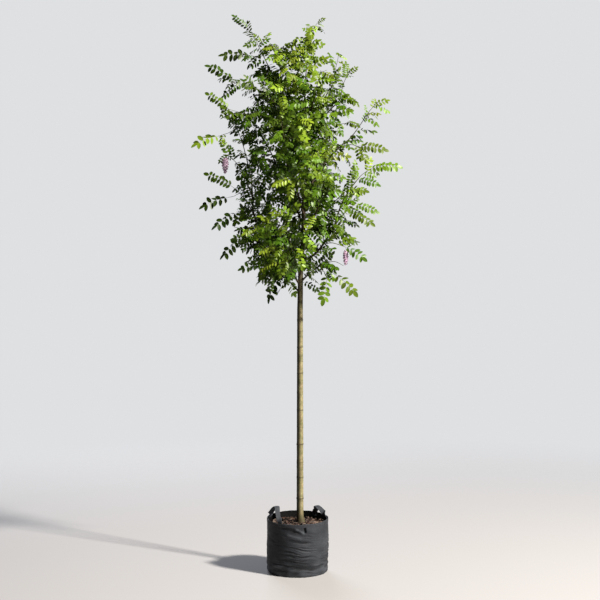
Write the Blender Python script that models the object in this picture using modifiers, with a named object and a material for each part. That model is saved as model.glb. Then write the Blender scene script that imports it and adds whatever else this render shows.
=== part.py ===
"""A young wisteria trained as a standard tree, growing in a round planting bag with two lifting handles.

The tree is a straight trunk with nineteen woody branches and thirty-one leafy shoots, two of which carry a
flower raceme. The bag is a side wall and a sewn base panel, with a strap loop at each side, filled with
potting soil under a layer of bark mulch. Metres, +Z up, origin at the middle of the bag's underside, and the
front of the tree faces -Y.
"""

import math
import random

import bmesh
import bpy
from mathutils import Matrix, Vector
from mathutils.bvhtree import BVHTree

# Bag
BAG_RADIUS = 0.200
BAG_HEIGHT = 0.347
BAG_WALL = 0.0022
BAG_SIDES = 40
BAG_ROWS = 6
RIM_RISE_AT_BACK = 0.010
BELLY = 0.0025
FOOT_TUCK = 0.006
FOOT_SHARE = 0.08
CREASE = 0.0016
CREASES = 5
STRAP_WIDTH = 0.034
STRAP_THICKNESS = 0.0024
STRAP_SHOULDER_SHARE = 0.56
STRAP_SHOULDER_AT = 0.42
STRAP_SEAM_ROOM = 0.003
STRAP_FOOT_ROOM = 0.012
STRAP_TWIST_FROM = 0.006
STRAP_TWIST_LENGTH = 0.034
# Each handle's side, the two turns of the rim, in degrees from +X, where its ends are sewn in, how far its
# top stands above the rim, and how far it leans in over the filling.
HANDLES = (("left", 178.0, 233.0, 0.084, 0.040), ("right", 3.0, 54.0, 0.064, 0.046))

# Filling
SOIL_TOP = 0.292
MULCH_DEPTH = 0.018
MULCH_LUMP = 0.007
FILL_RINGS = 7

# Tree
STEM_X = 0.016
TRUNK_FOOT = 0.235
TRUNK_BEVEL_STEPS = 3
BRANCH_BEVEL_STEPS = 1
BRANCH_TAPER = 0.55
SHOOT_TIP_RADIUS = 0.0012
SHOOT_SIDES = 4
END_SHOOT_SHARE = 0.8
SIDE_SHOOT_SHARE = 0.5
LEAF_LENGTH = 0.215
LEAF_WIDEST_AT = 0.45
LEAF_WIDTH_SHARE = 0.33
LEAF_TIP_SHARE = 0.05
LEAF_THICKNESS = 0.0012
LEAF_SPACING = 0.036
SOCKET_LENGTH = 0.006
LEAF_TRIES = 14
LEAF_REACH_SHARE = 0.62
LEAF_NUDGE = (0.0, 0.008, -0.006)
POSED_DROOP = 0.10
TIP_LEAF_LOSS = 0.35
TRY_TURN = 0.55
TRY_LENGTH_LOSS = 0.02
# The ranges that a leaf's turn, spread from the stem, share of the full length, sag and droop are drawn from.
TURN_RANGE = (-0.3, 0.3)
SPREAD_RANGE = (0.80, 1.15)
LENGTH_RANGE = (0.85, 1.1)
SAG_RANGE = (0.15, 0.5)
DROOP_RANGE = (0.06, 0.13)
GOLDEN_TURN = 2.4
SEED = 11

GAP = 0.0004
FORK_GAP = 0.0016
FIRST_STEP = 0.012
UP = Vector((0.0, 0.0, 1.0))

# The trunk's own line, foot to top, and its radius at each point.
TRUNK_LINE = (
    (STEM_X, 0.0, TRUNK_FOOT, 0.0270),
    (STEM_X, 0.0, 0.330, 0.0235),
    (STEM_X, 0.0, 0.400, 0.0222),
    (STEM_X, 0.0, 1.000, 0.0208),
    (STEM_X, 0.0, 1.700, 0.0185),
    (0.020, 0.0, 1.950, 0.0165),
    (0.036, 0.0, 2.160, 0.0145),
    (0.042, 0.005, 2.420, 0.0120),
    (0.038, 0.005, 2.700, 0.0090),
    (0.042, 0.0, 2.950, 0.0065),
    (0.050, 0.0, 3.180, 0.0042),
)

# Woody branches: name, radius at the trunk, height of the fork, and the points that each passes through.
BRANCHES = (
    ("left_top", 0.0062, 2.709, ((-0.081, -0.02, 3.028), (-0.192, -0.03, 3.281))),
    ("left_upper", 0.0062, 2.605, ((-0.062, -0.06, 2.898), (-0.166, -0.09, 3.054))),
    ("left_middle", 0.0066, 2.248, ((-0.101, 0.08, 2.572), (-0.192, 0.12, 2.767))),
    ("left_long", 0.0085, 1.968, ((-0.120, -0.02, 2.088), (-0.224, -0.03, 2.176),
                                  (-0.283, -0.03, 2.319), (-0.296, -0.03, 2.521))),
    ("left_low", 0.0066, 1.857, ((-0.094, -0.06, 2.007), (-0.192, -0.09, 2.085))),
    ("left_lowest", 0.0055, 1.805, ((-0.062, 0.05, 1.890),)),
    ("right_peak", 0.0052, 2.830, ((0.146, 0.03, 3.028), (0.224, 0.05, 3.158))),
    ("right_top", 0.0060, 2.735, ((0.160, -0.03, 2.930), (0.270, -0.06, 3.047))),
    ("right_upper", 0.0075, 2.410, ((0.146, 0.03, 2.618), (0.296, 0.04, 2.780))),
    ("right_middle", 0.0066, 2.163, ((0.133, -0.10, 2.267), (0.211, -0.16, 2.358))),
    ("right_long", 0.0082, 2.007, ((0.127, -0.04, 2.072), (0.231, -0.06, 2.228),
                                   (0.262, -0.06, 2.320), (0.296, -0.05, 2.410))),
    ("right_low", 0.0060, 1.877, ((0.081, -0.03, 1.935), (0.160, -0.06, 1.994))),
    ("front_high", 0.0062, 2.638, ((0.062, -0.15, 2.833), (0.094, -0.24, 2.982))),
    ("front_middle", 0.0068, 2.313, ((-0.016, -0.16, 2.508), (-0.062, -0.27, 2.670))),
    ("front_right", 0.0066, 2.118, ((0.094, -0.14, 2.248), (0.133, -0.25, 2.358))),
    ("front_low", 0.0066, 1.923, ((-0.010, -0.14, 2.007), (-0.036, -0.25, 2.098))),
    ("back_high", 0.0060, 2.670, ((0.003, 0.14, 2.865), (-0.036, 0.23, 3.008))),
    ("back_middle", 0.0068, 2.345, ((0.114, 0.16, 2.540), (0.179, 0.27, 2.703))),
    ("back_low", 0.0066, 2.030, ((-0.049, 0.15, 2.120), (-0.114, 0.27, 2.210))),
)

# Leafy shoots that grow on from the end of a branch or of the trunk: parent, the rest of the line, and the
# leaves that stand out of the crown's outline, each as (share of the shoot's length, where its tip reaches).
END_SHOOTS = (
    ("leader", ((0.075, 0.0, 3.420), (0.112, 0.0, 3.530), (0.132, 0.0, 3.565)),
     ((1.0, (0.182, -0.01, 3.590)), (0.8, (0.030, -0.02, 3.520)), (0.55, (0.180, 0.02, 3.430)))),
    ("left_top", ((-0.237, -0.03, 3.372), (-0.283, -0.03, 3.463), (-0.322, -0.04, 3.515)),
     ((1.0, (-0.424, -0.05, 3.604)), (0.25, (-0.507, -0.06, 3.333)), (0.50, (-0.175, -0.05, 3.448)))),
    ("left_upper", ((-0.231, -0.10, 3.099), (-0.302, -0.11, 3.119), (-0.354, -0.12, 3.138)),
     ((1.0, (-0.491, -0.13, 3.041)), (0.85, (-0.588, -0.14, 3.262)), (0.5, (-0.413, -0.20, 3.150)))),
    ("left_middle", ((-0.257, 0.13, 2.865), (-0.309, 0.14, 2.917)),
     ((1.0, (-0.480, 0.15, 2.975)), (0.6, (-0.400, 0.22, 2.830)))),
    ("left_long", ((-0.335, -0.04, 2.696), (-0.367, -0.05, 2.807), (-0.406, -0.05, 2.904)),
     ((0.90, (-0.677, -0.07, 2.729)), (1.0, (-0.500, -0.08, 3.020)), (0.7, (-0.205, -0.10, 2.839)))),
    ("left_low", ((-0.257, -0.10, 2.150), (-0.322, -0.11, 2.182)),
     ((1.0, (-0.491, -0.13, 2.020)), (0.7, (-0.420, -0.22, 2.140)))),
    ("left_lowest", ((-0.120, 0.07, 1.929), (-0.172, 0.08, 1.942)),
     ((1.0, (-0.276, 0.09, 1.851)), (0.5, (-0.192, 0.04, 1.740)))),
    ("right_peak", ((0.244, 0.05, 3.255), (0.263, 0.05, 3.333), (0.268, 0.05, 3.368)),
     ((1.0, (0.322, 0.04, 3.330)), (0.6, (0.170, 0.06, 3.330)))),
    ("right_top", ((0.300, -0.06, 3.164), (0.335, -0.06, 3.223)),
     ((1.0, (0.390, -0.07, 3.262)), (0.2, (0.396, -0.09, 3.000)))),
    ("right_upper", ((0.341, 0.05, 2.816), (0.400, 0.05, 2.891), (0.465, 0.05, 2.989), (0.510, 0.05, 3.040)),
     ((1.0, (0.604, 0.05, 3.068)), (0.75, (0.545, 0.02, 2.970)), (0.35, (0.523, 0.08, 2.862)))),
    ("right_middle", ((0.276, -0.20, 2.423), (0.328, -0.22, 2.462)),
     ((1.0, (0.450, -0.24, 2.440)), (0.5, (0.350, -0.36, 2.360)))),
    ("right_long", ((0.335, -0.05, 2.468), (0.374, -0.05, 2.520), (0.413, -0.05, 2.566),
                    (0.471, -0.05, 2.608)),
     ((1.0, (0.679, -0.05, 2.618)), (0.6, (0.532, -0.10, 2.490)))),
    ("right_low", ((0.237, -0.08, 2.007), (0.296, -0.09, 1.980)),
     ((1.0, (0.385, -0.10, 1.785)), (0.3, (0.160, -0.12, 1.725)))),
    ("front_high", ((0.120, -0.29, 3.093), (0.146, -0.32, 3.190)), ()),
    ("front_middle", ((-0.088, -0.33, 2.800), (-0.107, -0.36, 2.898)), ()),
    ("front_right", ((0.160, -0.31, 2.475), (0.179, -0.35, 2.553)), ()),
    ("front_low", ((-0.062, -0.32, 2.176), (-0.081, -0.36, 2.228)), ()),
    ("back_high", ((-0.062, 0.27, 3.125), (-0.075, 0.30, 3.223)), ()),
    ("back_middle", ((0.211, 0.33, 2.833), (0.231, 0.36, 2.930)), ()),
    ("back_low", ((-0.166, 0.34, 2.280), (-0.205, 0.38, 2.330)), ()),
)

# Leafy shoots that leave the side of a branch: branch, letter, where on the branch, and the rest as above.
SIDE_SHOOTS = (
    ("left_top", "a", 0.55, ((-0.110, -0.05, 3.242), (-0.122, -0.06, 3.353), (-0.135, -0.07, 3.405)), ()),
    ("left_upper", "a", 0.55, ((-0.211, -0.12, 2.943), (-0.309, -0.14, 2.943), (-0.440, -0.15, 2.975)),
     ((1.0, (-0.588, -0.16, 3.078)), (0.6, (-0.480, -0.25, 2.900)))),
    ("left_long", "a", 0.66, ((-0.325, -0.06, 2.390), (-0.374, -0.08, 2.449), (-0.419, -0.09, 2.488)),
     ((1.0, (-0.601, -0.10, 2.572)), (0.75, (-0.627, -0.12, 2.345)), (0.35, (-0.543, -0.14, 2.209)))),
    ("left_long", "b", 0.86, ((-0.354, -0.07, 2.585), (-0.419, -0.08, 2.668), (-0.465, -0.08, 2.697)), ()),
    ("left_low", "a", 0.60, ((-0.160, -0.14, 2.000), (-0.231, -0.19, 1.985)),
     ((1.0, (-0.374, -0.22, 1.948)),)),
    ("right_top", "a", 0.50, ((0.224, -0.08, 2.890), (0.309, -0.11, 2.891), (0.354, -0.12, 2.904)), ()),
    ("right_upper", "a", 0.92, ((0.345, 0.0, 2.770), (0.413, -0.02, 2.748)),
     ((0.7, (0.588, -0.04, 2.722)), (1.0, (0.440, -0.06, 2.640)))),
    ("right_long", "a", 0.62, ((0.315, -0.10, 2.332), (0.367, -0.12, 2.371)),
     ((1.0, (0.523, -0.14, 2.312)), (0.6, (0.491, -0.18, 2.228)))),
    ("right_long", "b", 0.36, ((0.224, -0.12, 2.125), (0.307, -0.15, 2.097)),
     ((1.0, (0.439, -0.18, 2.007)), (0.7, (0.400, -0.10, 2.130)))),
    ("back_high", "a", 0.55, ((-0.100, 0.22, 2.950), (-0.180, 0.28, 3.000)), ()),
    ("back_middle", "a", 0.55, ((0.200, 0.28, 2.600), (0.280, 0.36, 2.620)), ()),
)

# Flower racemes: side, the shoot it hangs from, length below its stalk, and widest radius.
RACEMES = (
    ("left", "left_long_b", 0.104, 0.0215),
    ("right", "right_long_b", 0.094, 0.0175),
)
RACEME_STALK = 0.022
STALK_RADIUS = 0.0012
RACEME_STEPS = 10

COLOURS = {
    "bag_fabric": ((0.030, 0.031, 0.034, 1.0), 0.75),
    "potting_soil": ((0.045, 0.028, 0.018, 1.0), 0.95),
    "bark_mulch": ((0.200, 0.105, 0.065, 1.0), 0.90),
    "trunk_bark": ((0.400, 0.380, 0.200, 1.0), 0.70),
    "branch_bark": ((0.130, 0.110, 0.055, 1.0), 0.80),
    "leaf_green": ((0.070, 0.190, 0.020, 1.0), 0.50),
    "petal_lilac": ((0.400, 0.180, 0.450, 1.0), 0.60),
}


def material(name):
    """The material of this name, made the first time it is asked for."""
    found = bpy.data.materials.get(name)
    if found:
        return found
    made = bpy.data.materials.new(name)
    made.use_nodes = True
    shader = made.node_tree.nodes["Principled BSDF"]
    colour, roughness = COLOURS[name]
    shader.inputs["Base Color"].default_value = colour
    shader.inputs["Roughness"].default_value = roughness
    shader.inputs["Metallic"].default_value = 0.0
    made.diffuse_color = colour
    return made


def add_object(name, data, collection, material_name):
    """Links a mesh or a curve to the scene as one named piece."""
    made = bpy.data.objects.new(name, data)
    collection.objects.link(made)
    data.materials.append(material(material_name))
    return made


def mesh_from(bm, name):
    """The mesh of a bmesh, with its faces turned outwards."""
    bmesh.ops.recalc_face_normals(bm, faces=bm.faces)
    mesh = bpy.data.meshes.new(name)
    bm.to_mesh(mesh)
    bm.free()
    return mesh


# Lines in space


def smooth_line(points, per_span):
    """Points along a smooth curve through the given points, as a Catmull-Rom spline."""
    knots = [Vector(p) for p in points]
    knots = [2 * knots[0] - knots[1], *knots, 2 * knots[-1] - knots[-2]]
    line = []
    for a, b, c, d in zip(knots, knots[1:], knots[2:], knots[3:]):
        for step in range(per_span):
            t = step / per_span
            line.append(0.5 * (2 * b + (c - a) * t + (2 * a - 5 * b + 4 * c - d) * t**2
                               + (3 * b - a - 3 * c + d) * t**3))
    line.append(knots[-2])
    return line


def lengths_along(line):
    """The distance from the line's start to each of its points."""
    run = [0.0]
    for a, b in zip(line, line[1:]):
        run.append(run[-1] + (b - a).length)
    return run


def point_at(line, distance):
    """(point, direction) at this distance along the line."""
    run = lengths_along(line)
    for i in range(1, len(run)):
        if distance <= run[i] or i == len(run) - 1:
            share = (distance - run[i - 1]) / (run[i] - run[i - 1])
            return line[i - 1].lerp(line[i], share), (line[i] - line[i - 1]).normalized()


def cross_axes(direction):
    """Two unit vectors across a direction: one level, and one that completes the frame."""
    level = direction.cross(UP)
    level = level.normalized() if level.length > 0.05 else Vector((1.0, 0.0, 0.0))
    return level, level.cross(direction).normalized()


# Wood


def tube(name, line, radii, resolution, collection, material_name):
    """A tapering round stick along a line."""
    curve = bpy.data.curves.new(name, "CURVE")
    curve.dimensions = "3D"
    curve.bevel_depth = 1.0
    curve.bevel_resolution = resolution
    curve.use_fill_caps = True
    spline = curve.splines.new("POLY")
    spline.points.add(len(line) - 1)
    for point, place, radius in zip(spline.points, line, radii):
        point.co = (*place, 1.0)
        point.radius = radius
    return add_object(name, curve, collection, material_name)


def trunk_at(height):
    """(centre, radius) of the trunk at a height."""
    for below, above in zip(TRUNK_LINE, TRUNK_LINE[1:]):
        if height <= above[2]:
            share = (height - below[2]) / (above[2] - below[2])
            place = Vector(below[:3]).lerp(Vector(above[:3]), share)
            return place, below[3] + (above[3] - below[3]) * share
    return Vector(TRUNK_LINE[-1][:3]), TRUNK_LINE[-1][3]


def start_clear_of(axis_point, direction, parent_direction, parent_radius, radius):
    """Where a stick that leaves its parent's axis has its whole end face just off the parent."""
    lean = abs(direction.dot(parent_direction))
    out = math.sqrt(max(1.0 - lean * lean, 0.04))
    return axis_point + direction * ((parent_radius + FORK_GAP + radius * lean) / out)


def line_from(start, root, line):
    """The line that begins at a start clear of the root, without the points that lie before it."""
    cleared = (start - root).length + FIRST_STEP
    return [start, *[p for p in line if (p - root).length > cleared]]


def branch_lines():
    """{branch name: (line, radius at each point)}, each line starting just off the trunk."""
    found = {}
    for name, radius, height, points in BRANCHES:
        root, trunk_radius = trunk_at(height)
        line = smooth_line([root, *points], 4)
        direction = (line[1] - line[0]).normalized()
        start = start_clear_of(root, direction, UP, trunk_radius, radius)
        line = line_from(start, root, line)
        run = lengths_along(line)
        found[name] = (line, [radius * (1.0 - (1.0 - BRANCH_TAPER) * d / run[-1]) for d in run])
    return found


# Leaves


def middle_of(points):
    """The mean of some points."""
    return sum(points, Vector()) / len(points)


def blade_sections(base, tip, droop):
    """The two cross-sections of a flat leaf blade from base to tip, each as four corners in order."""
    length = (tip - base).length
    widest = base.lerp(tip, LEAF_WIDEST_AT) + UP * droop * length
    sections = []
    for centre, ahead, width in (
        (widest, tip - base, LEAF_WIDTH_SHARE * length),
        (tip, tip - widest, LEAF_TIP_SHARE * length),
    ):
        across, above = cross_axes(ahead.normalized())
        half_width, half_thickness = across * width / 2, above * LEAF_THICKNESS / 2
        sections.append([centre + half_width + half_thickness, centre - half_width + half_thickness,
                         centre - half_width - half_thickness, centre + half_width - half_thickness])
    return sections


def blade_tree(base, sections):
    """A search tree of the blade's outside, for testing whether it meets anything."""
    towards = (middle_of(sections[0]) - base).normalized()
    across, above = (axis * SOCKET_LENGTH / 3 for axis in cross_axes(towards))
    foot = base + towards * SOCKET_LENGTH
    first = [foot + across + above, foot - across + above, foot - across - above, foot + across - above]
    corners = first + sections[0] + sections[1]
    faces = [(k + i, k + (i + 1) % 4, k + 4 + (i + 1) % 4, k + 4 + i) for k in (0, 4) for i in range(4)]
    faces.append((8, 9, 10, 11))
    return BVHTree.FromPolygons(corners, faces)


def stick_tree(line, radii):
    """A search tree of a stick's outside, a little fat."""
    sides, spare = 6, 0.001
    corners, faces = [], []
    for i, (place, radius) in enumerate(zip(line, radii)):
        direction = (line[min(i + 1, len(line) - 1)] - line[max(i - 1, 0)]).normalized()
        across, above = cross_axes(direction)
        for side in range(sides):
            turn = side * math.tau / sides
            outward = across * math.cos(turn) + above * math.sin(turn)
            corners.append(place + outward * (radius / math.cos(math.pi / sides) + spare))
    for low in range(0, sides * (len(line) - 1), sides):
        for side in range(sides):
            nxt = (side + 1) % sides
            faces.append((low + side, low + nxt, low + sides + nxt, low + sides + side))
    return BVHTree.FromPolygons(corners, faces)


class Crown:
    """What stands in the crown so far, so that a new leaf can be kept clear of it."""

    def __init__(self):
        self.sticks = []
        self.blades = []

    def clear(self, base, tip, tree, own_stick):
        """Whether a blade meets no stick but its own, and no other blade."""
        if any(tree.overlap(other) for name, other in self.sticks if name != own_stick):
            return False
        centre, reach = (base + tip) / 2, (tip - base).length * LEAF_REACH_SHARE
        return not any(
            (centre - there).length < reach + far and tree.overlap(other) for there, far, other in self.blades
        )

    def add_blade(self, base, tip, tree):
        """Counts a blade as standing in the crown."""
        self.blades.append(((base + tip) / 2, (tip - base).length * LEAF_REACH_SHARE, tree))


def leaf_tip(base, stem_direction, turn, spread, length, sag):
    """Where a leaf's tip reaches, from the turn round the stem, its spread from it and how far it sags."""
    level, above = cross_axes(stem_direction)
    outward = level * math.cos(turn) + above * math.sin(turn)
    direction = (stem_direction * math.cos(spread) + outward * math.sin(spread)).normalized()
    return base + (direction - UP * sag).normalized() * length


def choose_leaves(name, line, posed, crown, chance):
    """The shoot's leaves as (distance along it, base, sections) in order, each clear of all else."""
    total = lengths_along(line)[-1]
    chosen = []

    def keep(distance, base, tip, droop):
        sections = blade_sections(base, tip, droop)
        tree = blade_tree(base, sections)
        if not crown.clear(base, tip, tree, name):
            return False
        crown.add_blade(base, tip, tree)
        chosen.append((distance, base, sections))
        return True

    for share, tip in posed:
        distance = min(share * total, total - SOCKET_LENGTH)
        base = point_at(line, distance)[0]
        for nudge in range(LEAF_TRIES):
            shifted = Vector(tip) + Vector(LEAF_NUDGE) * nudge * (-1) ** nudge
            if keep(distance, base, shifted, POSED_DROOP):
                break
    count = max(3, int(total / LEAF_SPACING))
    for index in range(count):
        distance = total * (index + 0.6) / count
        if any(abs(distance - taken) < 2 * SOCKET_LENGTH for taken, _, _ in chosen):
            distance += 2.5 * SOCKET_LENGTH
        crowded = any(abs(distance - taken) < 1.5 * SOCKET_LENGTH for taken, _, _ in chosen)
        if crowded or distance > total - SOCKET_LENGTH:
            continue
        base, direction = point_at(line, distance)
        young = 1.0 - TIP_LEAF_LOSS * (distance / total) ** 2
        for attempt in range(LEAF_TRIES):
            turn = index * GOLDEN_TURN + attempt * TRY_TURN + chance.uniform(*TURN_RANGE)
            spread = chance.uniform(*SPREAD_RANGE)
            length = LEAF_LENGTH * young * chance.uniform(*LENGTH_RANGE) * (1.0 - TRY_LENGTH_LOSS * attempt)
            tip = leaf_tip(base, direction, turn, spread, length, chance.uniform(*SAG_RANGE))
            if keep(distance, base, tip, chance.uniform(*DROOP_RANGE)):
                break
    return sorted(chosen, key=lambda leaf: leaf[0])


# Leafy shoots


def matched(corners, socket):
    """The four corners in the order that runs round them the way the socket's vertices do."""
    middle, centre = middle_of([v.co for v in socket]), middle_of(corners)
    orders = [[corners[(first + way * i) % 4] for i in range(4)] for way in (1, -1) for first in range(4)]

    def agreement(order):
        return sum((p - centre).normalized().dot((v.co - middle).normalized()) for p, v in zip(order, socket))

    return max(orders, key=agreement)


def loft(bm, ring, corners):
    """Side faces from a ring of vertices to new vertices at the given corners, which become the next ring."""
    following = [bm.verts.new(p) for p in corners]
    for i in range(len(ring)):
        nxt = (i + 1) % len(ring)
        bm.faces.new((ring[i], ring[nxt], following[nxt], following[i]))
    return following


def stem_rings(bm, line, radius, leaves):
    """Rings of vertices along a shoot: its foot, a close pair where each leaf joins it, and its tip."""
    total = lengths_along(line)[-1]
    stations = [0.0]
    for distance, _, _ in leaves:
        stations += [distance - SOCKET_LENGTH / 2, distance + SOCKET_LENGTH / 2]
    stations.append(total)
    rings = []
    for distance in stations:
        place, direction = point_at(line, distance)
        across, above = cross_axes(direction)
        wide = radius + (SHOOT_TIP_RADIUS - radius) * distance / total
        ring = []
        for side in range(SHOOT_SIDES):
            turn = (side + 0.5) * math.tau / SHOOT_SIDES
            ring.append(bm.verts.new(place + (across * math.cos(turn) + above * math.sin(turn)) * wide))
        rings.append(ring)
    return rings


def draw_blade(bm, quads, base, sections):
    """Draws a leaf blade out of the one of the stem's quads that faces it, and returns that quad."""
    towards = (middle_of(sections[0]) - base).normalized()
    socket = max(quads, key=lambda quad: (middle_of([v.co for v in quad]) - base).dot(towards))
    ring = socket
    for corners in sections:
        ring = loft(bm, ring, matched(corners, ring))
    bm.faces.new(ring)
    return socket


def grow_leafy_shoot(name, line, radius, leaves, collection):
    """One green shoot and its leaf blades as a single solid, each blade drawn out of a side of the stem."""
    bm = bmesh.new()
    rings = stem_rings(bm, line, radius, leaves)
    for i, (low, high) in enumerate(zip(rings, rings[1:])):
        quads = [(low[side - 1], low[side], high[side], high[side - 1]) for side in range(SHOOT_SIDES)]
        socket = None
        if i % 2:
            _, base, sections = leaves[i // 2]
            socket = draw_blade(bm, quads, base, sections)
        for quad in quads:
            if quad is not socket:
                bm.faces.new(quad)
    bm.faces.new(rings[0])
    bm.faces.new(rings[-1])
    return add_object(name, mesh_from(bm, name), collection, "leaf_green")


def shoot_lines(branches):
    """[(name, line, radius at its foot, posed leaves)] of every leafy shoot, in growing order."""
    found = []
    for parent, points, posed in END_SHOOTS:
        if parent == "leader":
            x, y, z, end_radius = TRUNK_LINE[-1]
            end, before = Vector((x, y, z)), Vector(TRUNK_LINE[-2][:3])
        else:
            wood, radii = branches[parent]
            end, before, end_radius = wood[-1], wood[-2], radii[-1]
        radius = end_radius * END_SHOOT_SHARE
        start = end + (end - before).normalized() * (radius * 0.75 + GAP)
        found.append((parent, smooth_line([start, *points], 3), radius, posed))
    for parent, letter, share, points, posed in SIDE_SHOOTS:
        wood, radii = branches[parent]
        total = lengths_along(wood)[-1]
        place, along = point_at(wood, share * total)
        wood_radius = radii[0] + (radii[-1] - radii[0]) * share
        radius = wood_radius * SIDE_SHOOT_SHARE
        direction = (Vector(points[0]) - place).normalized()
        start = start_clear_of(place, direction, along, wood_radius, radius)
        line = line_from(start, place, smooth_line([place, *points], 3))
        found.append((f"{parent}_{letter}", line, radius, posed))
    return found


# Flowers


def raceme(name, top, length, widest, collection):
    """A hanging raceme: a thin stalk that widens into the flower-bearing part and narrows to its tip."""
    profile = [(0.0, 0.0), (STALK_RADIUS, 0.0), (STALK_RADIUS, -RACEME_STALK)]
    for share, fullness in ((0.10, 0.75), (0.30, 1.0), (0.60, 0.80), (0.85, 0.40), (1.0, 0.0)):
        profile.append((widest * fullness, -RACEME_STALK - share * length))
    mesh = bpy.data.meshes.new(name)
    points = [(radius, 0.0, height) for radius, height in profile]
    mesh.from_pydata(points, [(i, i + 1) for i in range(len(points) - 1)], [])
    made = add_object(name, mesh, collection, "petal_lilac")
    turned = made.modifiers.new("turned", "SCREW")
    turned.steps = turned.render_steps = RACEME_STEPS
    turned.use_merge_vertices = True
    turned.merge_threshold = 0.00001
    turned.use_normal_flip = False
    made.location = top
    return made


# Bag and filling


def rim_height(turn):
    """The height of the bag's rim, which sags at the front and stands higher at the back."""
    return BAG_HEIGHT + RIM_RISE_AT_BACK * math.sin(turn)


def bag_radius(turn, share):
    """The outside radius of the filled bag, a little full at mid height and creased near the rim."""
    belly = BELLY * (math.sin(math.pi * share) - 1.0)
    foot = FOOT_TUCK * (1 - min(share / FOOT_SHARE, 1.0)) ** 2
    crease = CREASE * share * math.sin(CREASES * turn + 1.0)
    return BAG_RADIUS + belly - foot + crease


def bag_wall(collection):
    """The bag's side as an open tube of cloth, given its thickness inwards."""
    bm = bmesh.new()
    bmesh.ops.create_cone(bm, segments=BAG_SIDES, radius1=BAG_RADIUS, radius2=BAG_RADIUS, depth=1.0)
    upright = [e for e in bm.edges if abs(e.verts[0].co.z - e.verts[1].co.z) > 0.5]
    bmesh.ops.subdivide_edges(bm, edges=upright, cuts=BAG_ROWS - 1)
    for vert in bm.verts:
        share = vert.co.z + 0.5
        turn = math.atan2(vert.co.y, vert.co.x)
        radius = bag_radius(turn, share)
        vert.co = (radius * math.cos(turn), radius * math.sin(turn), share * rim_height(turn))
    made = add_object("bag_wall", mesh_from(bm, "bag_wall"), collection, "bag_fabric")
    cloth = made.modifiers.new("cloth thickness", "SOLIDIFY")
    cloth.thickness = BAG_WALL
    cloth.offset = -1.0
    return made


def fill_radius(low, high):
    """The radius of what lies inside the wall between two heights."""
    levels = [(low + (high - low) * k / 8) / BAG_HEIGHT for k in range(9)]
    return (tightest_radius(levels) - BAG_WALL - 2 * GAP) * math.cos(math.pi / BAG_SIDES)


def tightest_radius(shares):
    """The bag's least outside radius at these shares of its height."""
    return min(bag_radius(k * math.tau / 60, share) for share in shares for k in range(60))


def round_block(name, centre, radius, low, high):
    """A mesh of a plain round block."""
    bm = bmesh.new()
    placed = Matrix.Translation((*centre, (low + high) / 2))
    bmesh.ops.create_cone(bm, segments=BAG_SIDES, radius1=radius, radius2=radius, depth=high - low,
                          cap_ends=True, matrix=placed)
    return mesh_from(bm, name)


def potting_soil(hole, collection, cutters):
    """The soil that fills the bag, with a pit where the trunk's foot stands."""
    low = BAG_WALL + GAP
    block = round_block("potting_soil", (0.0, 0.0), fill_radius(low, SOIL_TOP), low, SOIL_TOP)
    soil = add_object("potting_soil", block, collection, "potting_soil")
    plug = round_block("trunk_pit", (STEM_X, 0.0), hole, TRUNK_FOOT - GAP, SOIL_TOP + MULCH_DEPTH)
    cutter = add_object("trunk_pit", plug, cutters, "potting_soil")
    cutter.hide_render = True
    cutter.display_type = "WIRE"
    pit = soil.modifiers.new("pit for the trunk", "BOOLEAN")
    pit.object = cutter
    pit.operation = "DIFFERENCE"
    return soil


def bark_mulch(hole, chance, collection):
    """The layer of bark chips: flat below, uneven on top, with a hole that the trunk passes through."""
    low, high = SOIL_TOP + GAP, SOIL_TOP + MULCH_DEPTH
    outer = fill_radius(low, high + MULCH_LUMP)
    bm = bmesh.new()
    rings = []
    for ring in range(FILL_RINGS):
        verts = []
        for side in range(BAG_SIDES):
            round_way = Vector((math.cos(side * math.tau / BAG_SIDES), math.sin(side * math.tau / BAG_SIDES)))
            flat = (Vector((STEM_X, 0.0)) + round_way * hole).lerp(round_way * outer, ring / (FILL_RINGS - 1))
            verts.append(bm.verts.new((*flat, high + MULCH_LUMP * chance.uniform(-1.0, 1.0))))
        rings.append(verts)
    rings.append([bm.verts.new((v.co.x, v.co.y, low)) for v in rings[-1]])
    rings.append([bm.verts.new((v.co.x, v.co.y, low)) for v in rings[0]])
    for ring, following in zip(rings, [*rings[1:], rings[0]]):
        for side in range(BAG_SIDES):
            bm.faces.new((ring[side - 1], ring[side], following[side], following[side - 1]))
    return add_object("bark_mulch", mesh_from(bm, "bark_mulch"), collection, "bark_mulch")


def strap_twist(place, rim):
    """How far the strap has turned from lying flat on the wall, 0, to lying flat across the loop, 1."""
    share = min(1.0, max(0.0, (place.z - rim - STRAP_TWIST_FROM) / STRAP_TWIST_LENGTH))
    return share * share * (3.0 - 2.0 * share)


def strap(name, points, collection):
    """A flat strap along a line: its ends lie flat on the bag's wall, and its arch is flat across the loop."""
    line = smooth_line(points, 6)
    bm = bmesh.new()
    ring = None
    for i, place in enumerate(line):
        direction = (line[min(i + 1, len(line) - 1)] - line[max(i - 1, 0)]).normalized()
        outward = Vector((place.x, place.y, 0.0)).normalized()
        along_rim = outward.cross(UP)
        twist = strap_twist(place, rim_height(math.atan2(place.y, place.x)))
        wide = along_rim.lerp(outward, twist)
        wide = (wide - direction * wide.dot(direction)).normalized()
        thin = direction.cross(wide)
        corners = [place + wide * w * STRAP_WIDTH / 2 + thin * t * STRAP_THICKNESS / 2
                   for w, t in ((1, 1), (-1, 1), (-1, -1), (1, -1))]
        if ring is None:
            ring = [bm.verts.new(p) for p in corners]
            bm.faces.new(ring)
        else:
            ring = loft(bm, ring, corners)
    bm.faces.new(ring)
    return add_object(name, mesh_from(bm, name), collection, "bag_fabric")


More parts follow.
